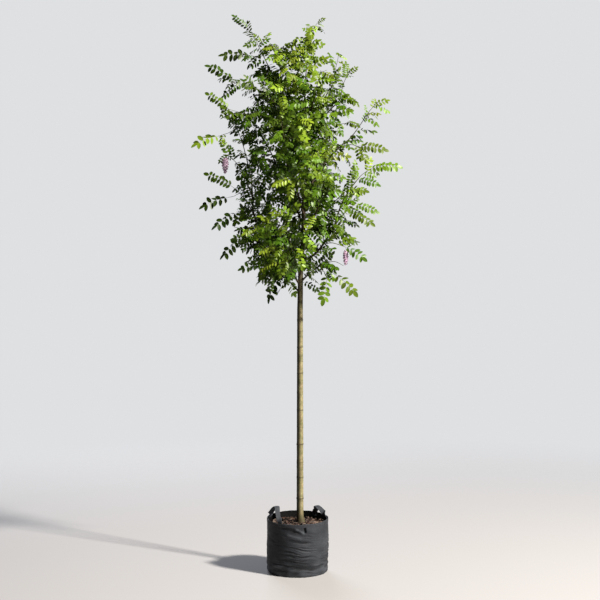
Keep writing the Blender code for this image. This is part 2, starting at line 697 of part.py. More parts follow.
def strap_loop(side, first_turn, second_turn, height, lean, collection):
    """A lifting handle: both ends lie against the inside of the rim, and the middle stands up as an arch."""
    against = tightest_radius([0.95]) - BAG_WALL - STRAP_THICKNESS - STRAP_SEAM_ROOM
    middle_turn = (first_turn + second_turn) / 2
    foot = SOIL_TOP + MULCH_DEPTH + MULCH_LUMP + STRAP_FOOT_ROOM
    shoulder = BAG_HEIGHT + STRAP_SHOULDER_SHARE * height

    def at(turn, level, inwards=0.0):
        radius = against - inwards
        return (radius * math.cos(turn), radius * math.sin(turn), level)

    def towards_middle(turn):
        return turn + (middle_turn - turn) * STRAP_SHOULDER_AT

    points = [
        at(first_turn, foot),
        at(first_turn, BAG_HEIGHT),
        at(towards_middle(first_turn), shoulder, lean / 2),
        at(middle_turn, BAG_HEIGHT + height, lean),
        at(towards_middle(second_turn), shoulder, lean / 2),
        at(second_turn, BAG_HEIGHT),
        at(second_turn, foot),
    ]
    return strap(f"bag_handle_{side}", points, collection)


# The whole object


def build_bag(collection, cutters, chance):
    """The bag, its handles and what fills it."""
    bag_wall(collection)
    base = round_block("bag_base", (0.0, 0.0), fill_radius(0.0, BAG_WALL), 0.0, BAG_WALL)
    add_object("bag_base", base, collection, "bag_fabric")
    for side, first, second, height, lean in HANDLES:
        strap_loop(side, math.radians(first), math.radians(second), height, lean, collection)
    hole = TRUNK_LINE[0][3] / math.cos(math.pi / BAG_SIDES) + GAP
    potting_soil(hole, collection, cutters)
    bark_mulch(hole, chance, collection)


def build_wood(collection, crown):
    """The trunk and its branches, and {branch name: (line, radius at each point)}."""
    trunk = [Vector(point[:3]) for point in TRUNK_LINE]
    trunk_radii = [point[3] for point in TRUNK_LINE]
    tube("trunk", trunk, trunk_radii, TRUNK_BEVEL_STEPS, collection, "trunk_bark")
    crown.sticks.append(("trunk", stick_tree(trunk, trunk_radii)))
    branches = branch_lines()
    for name, (line, radii) in branches.items():
        tube(f"branch_{name}", line, radii, BRANCH_BEVEL_STEPS, collection, "branch_bark")
        crown.sticks.append((name, stick_tree(line, radii)))
    return branches


def build_racemes(shoots, collection, crown):
    """The two racemes, each hanging just under the end of its shoot."""
    ends = {name: line[-1] for name, line, _, _ in shoots}
    for side, shoot, length, widest in RACEMES:
        top = ends[shoot] - UP * (SHOOT_TIP_RADIUS * 2 + GAP)
        raceme(f"flower_raceme_{side}", top, length, widest, collection)
        shoulder, tip = top - UP * RACEME_STALK, top - UP * (RACEME_STALK + length)
        outline = stick_tree([top, shoulder, tip], [STALK_RADIUS, widest, widest])
        crown.sticks.append((f"raceme {side}", outline))


def build_shoots(shoots, collection, crown, chance):
    """The leafy shoots, all of whose leaves are placed before any is modelled."""
    placed = [choose_leaves(f"shoot {name}", line, posed, crown, chance) for name, line, _, posed in shoots]
    for (name, line, radius, _), leaves in zip(shoots, placed):
        grow_leafy_shoot(f"leafy_shoot_{name}", line, radius, leaves, collection)


def build_tree(collection, chance):
    """The trunk, its branches, the leafy shoots and the racemes."""
    crown = Crown()
    shoots = shoot_lines(build_wood(collection, crown))
    for name, line, radius, _ in shoots:
        crown.sticks.append((f"shoot {name}", stick_tree(line, [radius] * len(line))))
    build_racemes(shoots, collection, crown)
    build_shoots(shoots, collection, crown, chance)


def main():
    """Clears the scene and builds the plant in its bag."""
    for old in list(bpy.data.objects):
        bpy.data.objects.remove(old)
    collection = bpy.data.collections.new("wisteria in a planting bag")
    cutters = bpy.data.collections.new("cutters")
    bpy.context.scene.collection.children.link(collection)
    bpy.context.scene.collection.children.link(cutters)
    chance = random.Random(SEED)
    build_bag(collection, cutters, chance)
    build_tree(collection, chance)


main()
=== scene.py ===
"""The looks of a young wisteria trained as a standard tree, in a woven planting bag with two lifting handles.

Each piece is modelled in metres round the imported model, with +Z up and the front of the tree facing -Y, and
stands where the plain solid of the same part stands.
"""

import logging
import math
import random
from collections.abc import Callable, Iterable, Iterator
from contextlib import contextmanager
from dataclasses import dataclass, field
from enum import Enum

import bpy
import numpy as np
from mathutils import Matrix, Vector, noise


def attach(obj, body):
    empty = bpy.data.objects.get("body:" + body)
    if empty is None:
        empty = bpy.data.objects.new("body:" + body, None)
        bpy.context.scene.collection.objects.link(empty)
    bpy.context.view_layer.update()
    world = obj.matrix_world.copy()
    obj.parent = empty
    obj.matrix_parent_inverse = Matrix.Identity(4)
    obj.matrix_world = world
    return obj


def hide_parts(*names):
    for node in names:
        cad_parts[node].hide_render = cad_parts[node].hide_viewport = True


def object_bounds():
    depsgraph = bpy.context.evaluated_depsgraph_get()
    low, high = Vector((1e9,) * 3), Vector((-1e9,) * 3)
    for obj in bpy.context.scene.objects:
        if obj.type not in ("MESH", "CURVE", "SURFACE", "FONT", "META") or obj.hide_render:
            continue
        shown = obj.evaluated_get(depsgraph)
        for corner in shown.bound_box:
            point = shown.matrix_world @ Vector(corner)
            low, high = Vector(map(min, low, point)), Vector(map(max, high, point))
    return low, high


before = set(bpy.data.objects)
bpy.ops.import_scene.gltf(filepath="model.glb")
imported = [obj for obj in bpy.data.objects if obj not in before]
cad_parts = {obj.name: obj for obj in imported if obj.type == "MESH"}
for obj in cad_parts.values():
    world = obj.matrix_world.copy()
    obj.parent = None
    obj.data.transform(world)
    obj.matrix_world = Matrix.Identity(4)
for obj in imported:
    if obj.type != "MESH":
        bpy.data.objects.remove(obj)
CAD_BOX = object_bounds()

LOG = logging.getLogger("wisteria")
BODY = "root"
UP = Vector((0.0, 0.0, 1.0))
FRONT = Vector((0.0, -1.0, 0.0))
SEED = 23

# The camera stands level in front of the tree, as far off as the picture was taken from.
CAMERA_PLACE = Vector((0.016, -7.4, 1.76))
CAMERA_LENS = 68.3
SENSOR_WIDTH = 36.0

# The turn from one growth to the next round a stem, a flower's stalk or a twig.
SPIRAL = 2.4

# The trunk's own line, foot to top, and its radius at each point.
STEM_X = 0.016
TRUNK_LINE = (
    (STEM_X, 0.0, 0.235, 0.0270),
    (STEM_X, 0.0, 0.330, 0.0235),
    (STEM_X, 0.0, 0.400, 0.0222),
    (STEM_X, 0.0, 1.000, 0.0208),
    (STEM_X, 0.0, 1.700, 0.0185),
    (0.020, 0.0, 1.950, 0.0165),
    (0.036, 0.0, 2.160, 0.0145),
    (0.042, 0.005, 2.420, 0.0120),
    (0.038, 0.005, 2.700, 0.0090),
    (0.042, 0.0, 2.950, 0.0065),
    (0.050, 0.0, 3.180, 0.0042),
)

# Woody branches: name, radius at the trunk, height of the fork, and the points that each passes through.
BRANCHES = (
    ("left_top", 0.0062, 2.709, ((-0.081, -0.02, 3.028), (-0.192, -0.03, 3.281))),
    ("left_upper", 0.0062, 2.605, ((-0.062, -0.06, 2.898), (-0.166, -0.09, 3.054))),
    ("left_middle", 0.0066, 2.248, ((-0.101, 0.08, 2.572), (-0.192, 0.12, 2.767))),
    ("left_long", 0.0085, 1.968, ((-0.120, -0.02, 2.088), (-0.224, -0.03, 2.176),
                                  (-0.283, -0.03, 2.319), (-0.296, -0.03, 2.521))),
    ("left_low", 0.0066, 1.857, ((-0.094, -0.06, 2.007), (-0.192, -0.09, 2.085))),
    ("left_lowest", 0.0055, 1.805, ((-0.062, 0.05, 1.890),)),
    ("right_peak", 0.0052, 2.830, ((0.146, 0.03, 3.028), (0.224, 0.05, 3.158))),
    ("right_top", 0.0060, 2.735, ((0.160, -0.03, 2.930), (0.270, -0.06, 3.047))),
    ("right_upper", 0.0075, 2.410, ((0.146, 0.03, 2.618), (0.296, 0.04, 2.780))),
    ("right_middle", 0.0066, 2.163, ((0.133, -0.10, 2.267), (0.211, -0.16, 2.358))),
    ("right_long", 0.0082, 2.007, ((0.127, -0.04, 2.072), (0.231, -0.06, 2.228),
                                   (0.262, -0.06, 2.320), (0.296, -0.05, 2.410))),
    ("right_low", 0.0060, 1.877, ((0.081, -0.03, 1.935), (0.160, -0.06, 1.994))),
    ("front_high", 0.0062, 2.638, ((0.062, -0.15, 2.833), (0.094, -0.24, 2.982))),
    ("front_middle", 0.0068, 2.313, ((-0.016, -0.16, 2.508), (-0.062, -0.27, 2.670))),
    ("front_right", 0.0066, 2.118, ((0.094, -0.14, 2.248), (0.133, -0.25, 2.358))),
    ("front_low", 0.0066, 1.923, ((-0.010, -0.14, 2.007), (-0.036, -0.25, 2.098))),
    ("back_high", 0.0060, 2.670, ((0.003, 0.14, 2.865), (-0.036, 0.23, 3.008))),
    ("back_middle", 0.0068, 2.345, ((0.114, 0.16, 2.540), (0.179, 0.27, 2.703))),
    ("back_low", 0.0066, 2.030, ((-0.049, 0.15, 2.120), (-0.114, 0.27, 2.210))),
)

# Shoots that grow on from the end of a branch or of the trunk: parent, the rest of the line, and the leaves
# that stand out of the crown's outline, each as (share of the shoot's length, where its tip reaches) and,
# where it is settled, the leaf's age.
END_SHOOTS = (
    ("leader", ((0.075, 0.0, 3.420), (0.112, 0.0, 3.530), (0.132, 0.0, 3.565)),
     ((1.0, (0.182, -0.01, 3.590)), (0.95, (0.052, -0.03, 3.420)), (0.8, (0.030, -0.02, 3.520)),
      (0.55, (0.180, 0.02, 3.430)))),
    ("left_top", ((-0.237, -0.03, 3.372), (-0.283, -0.03, 3.463), (-0.322, -0.04, 3.515)),
     ((1.0, (-0.424, -0.05, 3.604)), (0.25, (-0.507, -0.06, 3.333)), (0.50, (-0.175, -0.05, 3.448)))),
    ("left_upper", ((-0.231, -0.10, 3.099), (-0.302, -0.11, 3.119), (-0.354, -0.12, 3.138)),
     ((1.0, (-0.491, -0.13, 3.041)), (0.85, (-0.588, -0.14, 3.262)), (0.5, (-0.413, -0.20, 3.150)))),
    ("left_middle", ((-0.257, 0.13, 2.865), (-0.309, 0.14, 2.917)),
     ((1.0, (-0.480, 0.15, 2.975)), (0.6, (-0.400, 0.22, 2.830)))),
    ("left_long", ((-0.335, -0.04, 2.696), (-0.367, -0.05, 2.807), (-0.406, -0.05, 2.904)),
     # The long left leaf's settled young age paints it pale, as painted light, where the crown would shade
     # it.
     ((0.90, (-0.668, -0.20, 2.729), 0.30), (1.0, (-0.500, -0.08, 3.020)), (0.7, (-0.205, -0.10, 2.839)))),
    ("left_low", ((-0.257, -0.10, 2.150), (-0.322, -0.11, 2.182)),
     ((1.0, (-0.491, -0.13, 2.020)), (0.7, (-0.420, -0.22, 2.140)))),
    ("left_lowest", ((-0.120, 0.07, 1.929), (-0.172, 0.08, 1.942)),
     ((1.0, (-0.276, 0.09, 1.851)), (0.5, (-0.192, 0.04, 1.740)))),
    ("right_peak", ((0.244, 0.05, 3.255), (0.263, 0.05, 3.333), (0.268, 0.05, 3.368)),
     ((1.0, (0.322, 0.04, 3.330)), (0.6, (0.170, 0.06, 3.330)))),
    ("right_top", ((0.300, -0.06, 3.164), (0.335, -0.06, 3.223)),
     ((1.0, (0.390, -0.07, 3.262)), (0.2, (0.396, -0.09, 3.000)))),
    ("right_upper", ((0.341, 0.05, 2.816), (0.400, 0.05, 2.891), (0.465, 0.05, 2.989), (0.510, 0.05, 3.040)),
     ((1.0, (0.604, 0.05, 3.068)), (0.75, (0.545, 0.02, 2.970)), (0.35, (0.523, 0.08, 2.862)))),
    ("right_middle", ((0.276, -0.20, 2.423), (0.328, -0.22, 2.462)),
     ((1.0, (0.450, -0.24, 2.440)), (0.5, (0.350, -0.36, 2.360)))),
    ("right_long", ((0.335, -0.05, 2.468), (0.374, -0.05, 2.520), (0.413, -0.05, 2.566),
                    (0.471, -0.05, 2.608)),
     ((1.0, (0.679, -0.05, 2.618), 0.45), (0.6, (0.532, -0.10, 2.490)))),
    ("right_low", ((0.237, -0.08, 2.007), (0.296, -0.09, 1.980)),
     ((0.05, (0.385, -0.10, 1.785), 0.45), (0.3, (0.160, -0.12, 1.725), 0.50))),
    ("front_high", ((0.120, -0.29, 3.093), (0.146, -0.32, 3.190)), ()),
    ("front_middle", ((-0.088, -0.33, 2.800), (-0.107, -0.36, 2.898)), ()),
    ("front_right", ((0.160, -0.31, 2.475), (0.179, -0.35, 2.553)), ()),
    ("front_low", ((-0.062, -0.32, 2.176), (-0.081, -0.36, 2.228)), ()),
    ("back_high", ((-0.062, 0.27, 3.125), (-0.075, 0.30, 3.223)), ()),
    ("back_middle", ((0.211, 0.33, 2.833), (0.231, 0.36, 2.930)), ()),
    ("back_low", ((-0.166, 0.34, 2.280), (-0.205, 0.38, 2.330)), ()),
)

# Shoots that leave the side of a branch: branch, letter, where on the branch, and the rest as above.
SIDE_SHOOTS = (
    ("left_top", "a", 0.55, ((-0.110, -0.05, 3.242), (-0.122, -0.06, 3.353), (-0.135, -0.07, 3.405)), ()),
    ("left_upper", "a", 0.55, ((-0.211, -0.12, 2.943), (-0.309, -0.14, 2.943), (-0.440, -0.15, 2.975)),
     ((1.0, (-0.588, -0.16, 3.078)), (0.6, (-0.480, -0.25, 2.900)))),
    ("left_long", "a", 0.66, ((-0.325, -0.06, 2.390), (-0.374, -0.08, 2.449), (-0.419, -0.09, 2.488)),
     ((1.0, (-0.601, -0.10, 2.572)), (0.75, (-0.627, -0.12, 2.345)), (0.35, (-0.543, -0.14, 2.209)))),
    ("left_long", "b", 0.86, ((-0.354, -0.07, 2.585), (-0.419, -0.08, 2.668), (-0.465, -0.08, 2.697)), ()),
    ("left_low", "a", 0.60, ((-0.160, -0.14, 2.000), (-0.231, -0.19, 1.985)),
     ((1.0, (-0.374, -0.22, 1.948)),)),
    ("right_top", "a", 0.50, ((0.224, -0.08, 2.890), (0.309, -0.11, 2.891), (0.354, -0.12, 2.904)), ()),
    ("right_upper", "a", 0.92, ((0.345, 0.0, 2.770), (0.413, -0.02, 2.748)),
     ((0.7, (0.588, -0.04, 2.722)), (1.0, (0.440, -0.06, 2.640)))),
    ("right_long", "a", 0.62, ((0.315, -0.10, 2.332), (0.367, -0.12, 2.371)),
     ((1.0, (0.523, -0.14, 2.312)), (0.6, (0.491, -0.18, 2.228)))),
    ("right_long", "b", 0.36, ((0.224, -0.12, 2.125), (0.307, -0.15, 2.097)),
     ((1.0, (0.439, -0.18, 2.007)), (0.7, (0.400, -0.10, 2.130)))),
    ("back_high", "a", 0.55, ((-0.100, 0.22, 2.950), (-0.180, 0.28, 3.000)), ()),
    ("back_middle", "a", 0.55, ((0.200, 0.28, 2.600), (0.280, 0.36, 2.620)), ()),
)

# Tufts of young leaves on the crown's sunny face, whose pale colour is partly painted light: where the middle
# of each one is.
YOUNG_TUFTS = (
    (-0.133, -0.26, 2.885), (-0.016, -0.30, 2.860), (0.023, -0.36, 2.780), (0.062, -0.34, 2.631),
    (0.198, -0.26, 2.657), (-0.029, -0.36, 2.501), (-0.146, -0.30, 2.085), (0.023, -0.28, 2.072),
    (-0.215, -0.10, 3.430), (-0.080, -0.14, 3.330), (0.020, -0.16, 3.300), (0.110, -0.12, 3.260),
    (-0.235, -0.24, 2.215), (-0.170, -0.28, 2.250), (0.030, -0.20, 3.130), (-0.080, -0.24, 3.090),
    (-0.120, -0.30, 1.990), (0.060, -0.32, 2.180), (-0.060, -0.34, 2.300), (0.120, -0.34, 2.700),
    (-0.120, -0.08, 3.380), (-0.030, -0.08, 3.370), (-0.170, -0.06, 3.410), (-0.050, -0.16, 3.240),
    (0.060, -0.10, 3.370), (0.060, -0.05, 3.450), (0.100, -0.22, 3.030), (0.150, -0.28, 2.480),
)

# Tufts of older leaves that fill the crown's shaded left side and its middle, whose dark colour is partly
# painted shade.
SHADED_TUFTS = (
    (-0.270, -0.05, 2.700), (-0.220, 0.05, 2.620), (-0.250, -0.12, 2.510), (-0.200, 0.00, 2.430),
    (-0.260, 0.08, 2.380), (-0.160, -0.10, 2.560), (-0.280, -0.08, 2.790), (-0.200, -0.12, 2.700),
    (-0.240, -0.10, 2.290), (-0.150, 0.02, 2.330), (-0.300, 0.05, 2.560), (-0.120, -0.06, 2.450),
    (-0.230, 0.03, 3.100), (-0.150, -0.10, 3.160), (-0.060, 0.02, 3.250), (0.010, -0.04, 3.330),
    (-0.300, -0.06, 2.900), (-0.180, -0.08, 2.960), (-0.260, 0.02, 3.000), (-0.330, 0.03, 2.800),
    (-0.340, -0.10, 2.330), (-0.300, -0.02, 2.200), (-0.250, 0.06, 2.120), (-0.180, -0.04, 2.160),
    (-0.200, 0.03, 2.020), (-0.230, -0.06, 1.960), (-0.160, -0.12, 1.900),
    (-0.130, 0.06, 1.990), (-0.040, -0.12, 1.960), (0.080, -0.16, 2.420), (0.020, -0.12, 2.620),
)

# The crown's bulk as the front view shows it: height, left edge, right edge.
CROWN_OUTLINE = (
    (1.70, -0.10, 0.10), (1.80, -0.19, 0.16), (1.90, -0.26, 0.25), (2.00, -0.33, 0.32),
    (2.10, -0.38, 0.36), (2.20, -0.42, 0.38), (2.32, -0.45, 0.42), (2.45, -0.44, 0.45),
    (2.58, -0.38, 0.42), (2.70, -0.42, 0.40), (2.82, -0.46, 0.42), (2.94, -0.44, 0.40),
    (3.04, -0.34, 0.39), (3.14, -0.36, 0.38), (3.25, -0.33, 0.36), (3.36, -0.25, 0.27),
    (3.42, -0.17, 0.20), (3.47, -0.01, 0.17), (3.56, 0.03, 0.16),
)

Colour = tuple[float, float, float, float]
Line = list[Vector]
Tree = bpy.types.NodeTree
Node = bpy.types.Node
Piece = bpy.types.Object


# Colours and nodes


def linear(code: str) -> Colour:
    """The linear colour of an sRGB hex value."""
    parts = [int(code[i:i + 2], 16) / 255 for i in (1, 3, 5)]
    return (*(p / 12.92 if p <= 0.04045 else ((p + 0.055) / 1.055) ** 2.4 for p in parts), 1.0)


def in_use(sockets: Iterable[bpy.types.NodeSocket], name: str = "") -> bpy.types.NodeSocket:
    """The first socket that a node's options leave in use and, where a name is given, that has this name."""
    return next(s for s in sockets if s.enabled and name in ("", s.name))


def add_node(tree: Tree, kind: str, values: dict | None = None) -> Node:
    """Adds one node with its settings and links.

    Args:
        tree: The material's node tree.
        kind: The node's type, without the prefix that all of them share.
        values: The node's own options by name, and its input sockets by name or number. A socket takes a
            number, a vector, a hex colour, or what feeds it: an output socket, or a node for the first of
            its outputs. "stops" gives a colour ramp its (place, hex colour) pairs.

    Returns:
        The node.
    """
    made = tree.nodes.new(f"ShaderNode{kind}")
    for name, value in (values or {}).items():
        if name == "stops":
            while len(made.color_ramp.elements) < len(value):
                made.color_ramp.elements.new(1.0)
            for element, (place, colour) in zip(made.color_ramp.elements, value):
                element.position, element.color = place, linear(colour)
        elif isinstance(name, str) and hasattr(made, name):
            setattr(made, name, value)
        else:
            socket = made.inputs[name] if isinstance(name, int) else in_use(made.inputs, name)
            if isinstance(value, (Node, bpy.types.NodeSocket)):
                tree.links.new(in_use(value.outputs) if isinstance(value, Node) else value, socket)
            else:
                socket.default_value = linear(value) if isinstance(value, str) else value
    return made


def bands_for(period: float) -> float:
    """The Wave texture's scale at which its bands repeat every period, in metres."""
    return math.pi / (10 * period)


# Numbers and lines in space


def held(value: float, low: float = 0.0, high: float = 1.0) -> float:
    """A value, held between two limits."""
    return min(high, max(low, value))


def bell(distance: float, width: float) -> float:
    """A smooth hump: 1 where the distance is 0, and almost nothing at two widths from there."""
    return math.exp(-((distance / width) ** 2))


def ring_point(radius: float, turn: float, height: float = 0.0) -> Vector:
    """The point at a turn on an upright ring round the bag's axis."""
    return Vector((radius * math.cos(turn), radius * math.sin(turn), height))


def smooth_line(points: list, per_span: int) -> Line:
    """Points along a smooth curve, a Catmull-Rom spline, through some points.

    Args:
        points: The points that the curve passes through.
        per_span: How many points it has for each span between them.

    Returns:
        The points of the curve.
    """
    knots = [Vector(p) for p in points]
    knots = [2 * knots[0] - knots[1], *knots, 2 * knots[-1] - knots[-2]]
    line = []
    for a, b, c, d in zip(knots, knots[1:], knots[2:], knots[3:]):
        for step in range(per_span):
            t = step / per_span
            line.append(0.5 * (2 * b + (c - a) * t + (2 * a - 5 * b + 4 * c - d) * t**2
                               + (3 * b - a - 3 * c + d) * t**3))
    line.append(knots[-2])
    return line


def lengths_along(line: Line) -> list[float]:
    """Measures along a line.

    Args:
        line: The line.

    Returns:
        The distance from its start to each of its points.
    """
    run = [0.0]
    for a, b in zip(line, line[1:]):
        run.append(run[-1] + (b - a).length)
    return run


def point_at(line: Line, distance: float) -> tuple[Vector, Vector]:
    """Finds a place on a line.

    Args:
        line: The line.
        distance: How far along it the place is.

    Returns:
        The place, and the line's direction there.
    """
    run = lengths_along(line)
    for i in range(1, len(run)):
        if distance <= run[i] or i == len(run) - 1:
            share = (distance - run[i - 1]) / (run[i] - run[i - 1])
            return line[i - 1].lerp(line[i], share), (line[i] - line[i - 1]).normalized()


def cross_axes(direction: Vector) -> tuple[Vector, Vector]:
    """Finds two ways across a direction.

    Args:
        direction: The direction.

    Returns:
        Two unit vectors at right angles to it and to each other, the first of them level.
    """
    level = direction.cross(UP)
    level = level.normalized() if level.length > 0.05 else Vector((1.0, 0.0, 0.0))
    return level, level.cross(direction).normalized()


def seat(place: Vector, along: Vector, upper: Vector, size: float = 1.0) -> Matrix:
    """Takes a shape that lies along +X with its upper face to +Z to its place.

    Args:
        place: Where its origin goes.
        along: Where its +X points.
        upper: Where its +Z points, at a right angle to along.
        size: How many times larger it gets.

    Returns:
        The matrix for that.
    """
    axes = Matrix((along * size, upper.cross(along) * size, upper * size))
    return Matrix.Translation(place) @ axes.transposed().to_4x4()


def between(table: tuple, height: float) -> list[float]:
    """Reads a table at a height, between its two nearest rows.

    Args:
        table: Rows of numbers, each starting with its height, lowest first.
        height: The height.

    Returns:
        The row there.
    """
    for below, above in zip(table, table[1:]):
        if height <= above[0]:
            share = max(0.0, (height - below[0]) / (above[0] - below[0]))
            return [a + (b - a) * share for a, b in zip(below, above)]
    return list(table[-1])


# Objects


def own_chance(number: int) -> random.Random:
    """A dataclass field with a source of chance of its own, which is the same on every run."""
    return field(default_factory=lambda: random.Random(SEED + number))


def deselect() -> None:
    """Leaves nothing selected, so that an operator acts on the new object alone."""
    bpy.ops.object.select_all(action="DESELECT")


def take_new(name: str) -> Piece:
    """Names the object that an operator has just added.

    Args:
        name: Its name, which its mesh takes too.

    Returns:
        The object.
    """
    made = bpy.context.active_object
    made.name = name
    made.data.name = name
    return made


def make_active(piece: Piece) -> None:
    """Selects one object alone.

    Args:
        piece: The object.
    """
    deselect()
    piece.select_set(True)
    bpy.context.view_layer.objects.active = piece


@contextmanager
def editing() -> Iterator[None]:
    """Edit mode on the active mesh, with all of it selected.

    Returns:
        The time in edit mode, as a with statement takes it.
    """
    bpy.ops.object.mode_set(mode="EDIT")
    bpy.ops.mesh.select_all(action="SELECT")
    yield
    bpy.ops.object.mode_set(mode="OBJECT")


def smooth(degrees: float) -> None:
    """Shades the selected mesh smooth, but for edges sharper than an angle."""
    bpy.ops.object.shade_smooth_by_angle(angle=math.radians(degrees))


def copy_of(pattern: Piece, matrix: Matrix, name: str) -> Piece:
    """A copy of a modelled shape with a mesh of its own, placed in its mesh.

    Args:
        pattern: The shape that is copied.
        matrix: Where the copy goes.
        name: The copy's name.

    Returns:
        The copy.
    """
    made = pattern.copy()
    made.data = pattern.data.copy()
    made.name = name
    made.data.transform(matrix)
    bpy.context.scene.collection.objects.link(made)
    return made


def join(parts: list[Piece], name: str, patterns: Iterable[Piece] = ()) -> Piece:
    """Joins some objects into one piece, and removes the shapes that were only there to be copied.

    Args:
        parts: The objects.
        name: The piece's name.
        patterns: The shapes that nothing needs any more.

    Returns:
        The piece.
    """
    make_active(parts[0])
    for part in parts:
        part.select_set(True)
    if len(parts) > 1:
        bpy.ops.object.join()
    for pattern in patterns:
        bpy.data.objects.remove(pattern)
    return take_new(name)


def set_points(piece: Piece, name: str, values: list[float]) -> None:
    """Writes a number for each point of a piece, for its material to read."""
    piece.data.attributes.new(name, "FLOAT", "POINT").data.foreach_set("value", values)


def set_faces(piece: Piece, name: str, values: float | list[float]) -> None:
    """Writes a number for each face of a piece, for its material to read.

    Args:
        piece: The piece.
        name: The attribute's name.
        values: The numbers, or one for all the faces.
    """
    mesh = piece.data
    layer = mesh.attributes.get(name) or mesh.attributes.new(name, "FLOAT", "FACE")
    layer.data.foreach_set("value", values if isinstance(values, list) else [values] * len(mesh.polygons))


def lay_pattern(piece: Piece, places: dict[int, tuple]) -> None:
    """Gives a piece its UV map.

    Args:
        piece: The piece.
        places: For each point by number, its place on the flat.
    """
    layer = piece.data.uv_layers.active or piece.data.uv_layers.new()
    for loop in piece.data.loops:
        layer.data[loop.index].uv = places[loop.vertex_index]


def dress(piece: Piece, material: bpy.types.Material) -> Piece:
    """Gives a mesh its material.

    Args:
        piece: The mesh object.
        material: The material.

    Returns:
        The same object.
    """
    piece.data.materials.clear()
    piece.data.materials.append(material)
    return piece


def apply_modifier(piece: Piece, kind: str, **settings: object) -> None:
    """Adds a modifier to an object and applies it.

    Args:
        piece: The object.
        kind: The modifier's type.
        settings: The modifier's own options.
    """
    make_active(piece)
    made = piece.modifiers.new(kind.lower(), kind)
    for name, value in settings.items():
        setattr(made, name, value)
    bpy.ops.object.modifier_apply(modifier=made.name)


def add_piece(piece: Piece, slot: str, *stands_for: str) -> None:
    """Makes an object part of the model, and logs it.

    Args:
        piece: The finished object.
        slot: The record's material slot for the piece; it is not used.
        stands_for: The plain solids that it replaces.
    """
    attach(piece, BODY)
    if stands_for:
        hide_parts(*stands_for)
    LOG.info("%s: %d faces", piece.name, len(piece.data.polygons))


def open_tube(name: str, sides: int, rows: int, closed: bool) -> Piece:
    """An upright tube of radius 1 and height 1, in even rows, for its user to give it a form.

    It starts as a flat grid, which is rolled up and merged along its seam.

    Args:
        name: The object's name.
        sides: How many sides it has.
        rows: How many rows of faces it has.
        closed: Whether its two ends are filled.

    Returns:
        The tube.
    """
    deselect()
    bpy.ops.mesh.primitive_grid_add(x_subdivisions=sides, y_subdivisions=rows, size=2.0)
    made = take_new(name)
    for vert in made.data.vertices:
        vert.co = ring_point(1.0, math.pi * vert.co.x, vert.co.y / 2)
    with editing():
        bpy.ops.mesh.remove_doubles(threshold=0.00001)
        if closed:
            bpy.ops.mesh.fill_holes(sides=0)
            bpy.ops.mesh.normals_make_consistent(inside=False)
    return made


def ringed_disc(name: str, sides: int, radius: float, rings: int, step: float) -> Piece:
    """A level disc in rings, for its user to give it a form.

    Args:
        name: The object's name.
        sides: How many sides it has.
        radius: Its radius.
        rings: How many rings lie inside its edge.
        step: How wide each ring is.

    Returns:
        The disc.
    """
    deselect()
    bpy.ops.mesh.primitive_circle_add(vertices=sides, radius=radius, fill_type="NGON")
    made = take_new(name)
    with editing():
        for _ in range(rings):
            bpy.ops.mesh.inset(thickness=step, depth=0.0)
    return made


def shaped_sphere(name: str, segments: int, rings: int, place: Callable[..., tuple]) -> Piece:
    """A sphere whose points are moved, one by one, to make a petal or a leaf of it.

    Args:
        name: The object's name.
        segments: How many sides the sphere has.
        rings: How many rows of faces it has.
        place: Gives a point's new place from its x, y and z on the sphere of radius 1.

    Returns:
        The object.
    """
    deselect()
    bpy.ops.mesh.primitive_uv_sphere_add(segments=segments, ring_count=rings, radius=1.0)
    made = take_new(name)
    for vert in made.data.vertices:
        vert.co = place(*vert.co)
    return made


@dataclass(frozen=True)
class Stick:
    """A round tapering length of wood: its line and its radius at each point."""

    line: Line
    radii: list[float]


def sticks_mesh(name: str, sticks: list[Stick], resolution: int, bark: bpy.types.Material) -> Piece:
    """Some sticks as one mesh.

    Args:
        name: The object's name.
        sticks: The sticks.
        resolution: The curve's bevel resolution: 0 gives 4 sides, 1 gives 6 and 2 gives 8.
        bark: Its material.

    Returns:
        The mesh object, with each stick's ends closed.
    """
    curve = bpy.data.curves.new(name, "CURVE")
    curve.dimensions = "3D"
    curve.bevel_depth = 1.0
    curve.bevel_resolution = resolution
    curve.use_fill_caps = True
    for stick in sticks:
        spline = curve.splines.new("POLY")
        spline.points.add(len(stick.line) - 1)
        for point, place, radius in zip(spline.points, stick.line, stick.radii):
            point.co = (*place, 1.0)
            point.radius = radius
    made = bpy.data.objects.new(name, curve)
    bpy.context.scene.collection.objects.link(made)
    make_active(made)
    bpy.ops.object.convert(target="MESH")
    with editing():
        bpy.ops.mesh.remove_doubles(threshold=0.00001)
    smooth(60)
    return dress(take_new(name), bark)


# Finishes


@dataclass(frozen=True)
class Finish:
    """What a surface is made of, and the nodes that draw it."""

    name: str

    def surface(self, tree: Tree) -> Node:
        """Adds the nodes of the finish.

        Args:
            tree: The material's node tree.

        Returns:
            The shader that the others feed.
        """
        raise NotImplementedError

    def material(self) -> bpy.types.Material:
        """Makes the material.

        Returns:
            The material.
        """
        made = bpy.data.materials.new(self.name)
        made.use_nodes = True
        made.node_tree.nodes.clear()
        add_node(made.node_tree, "OutputMaterial", {"Surface": self.surface(made.node_tree)})
        return made


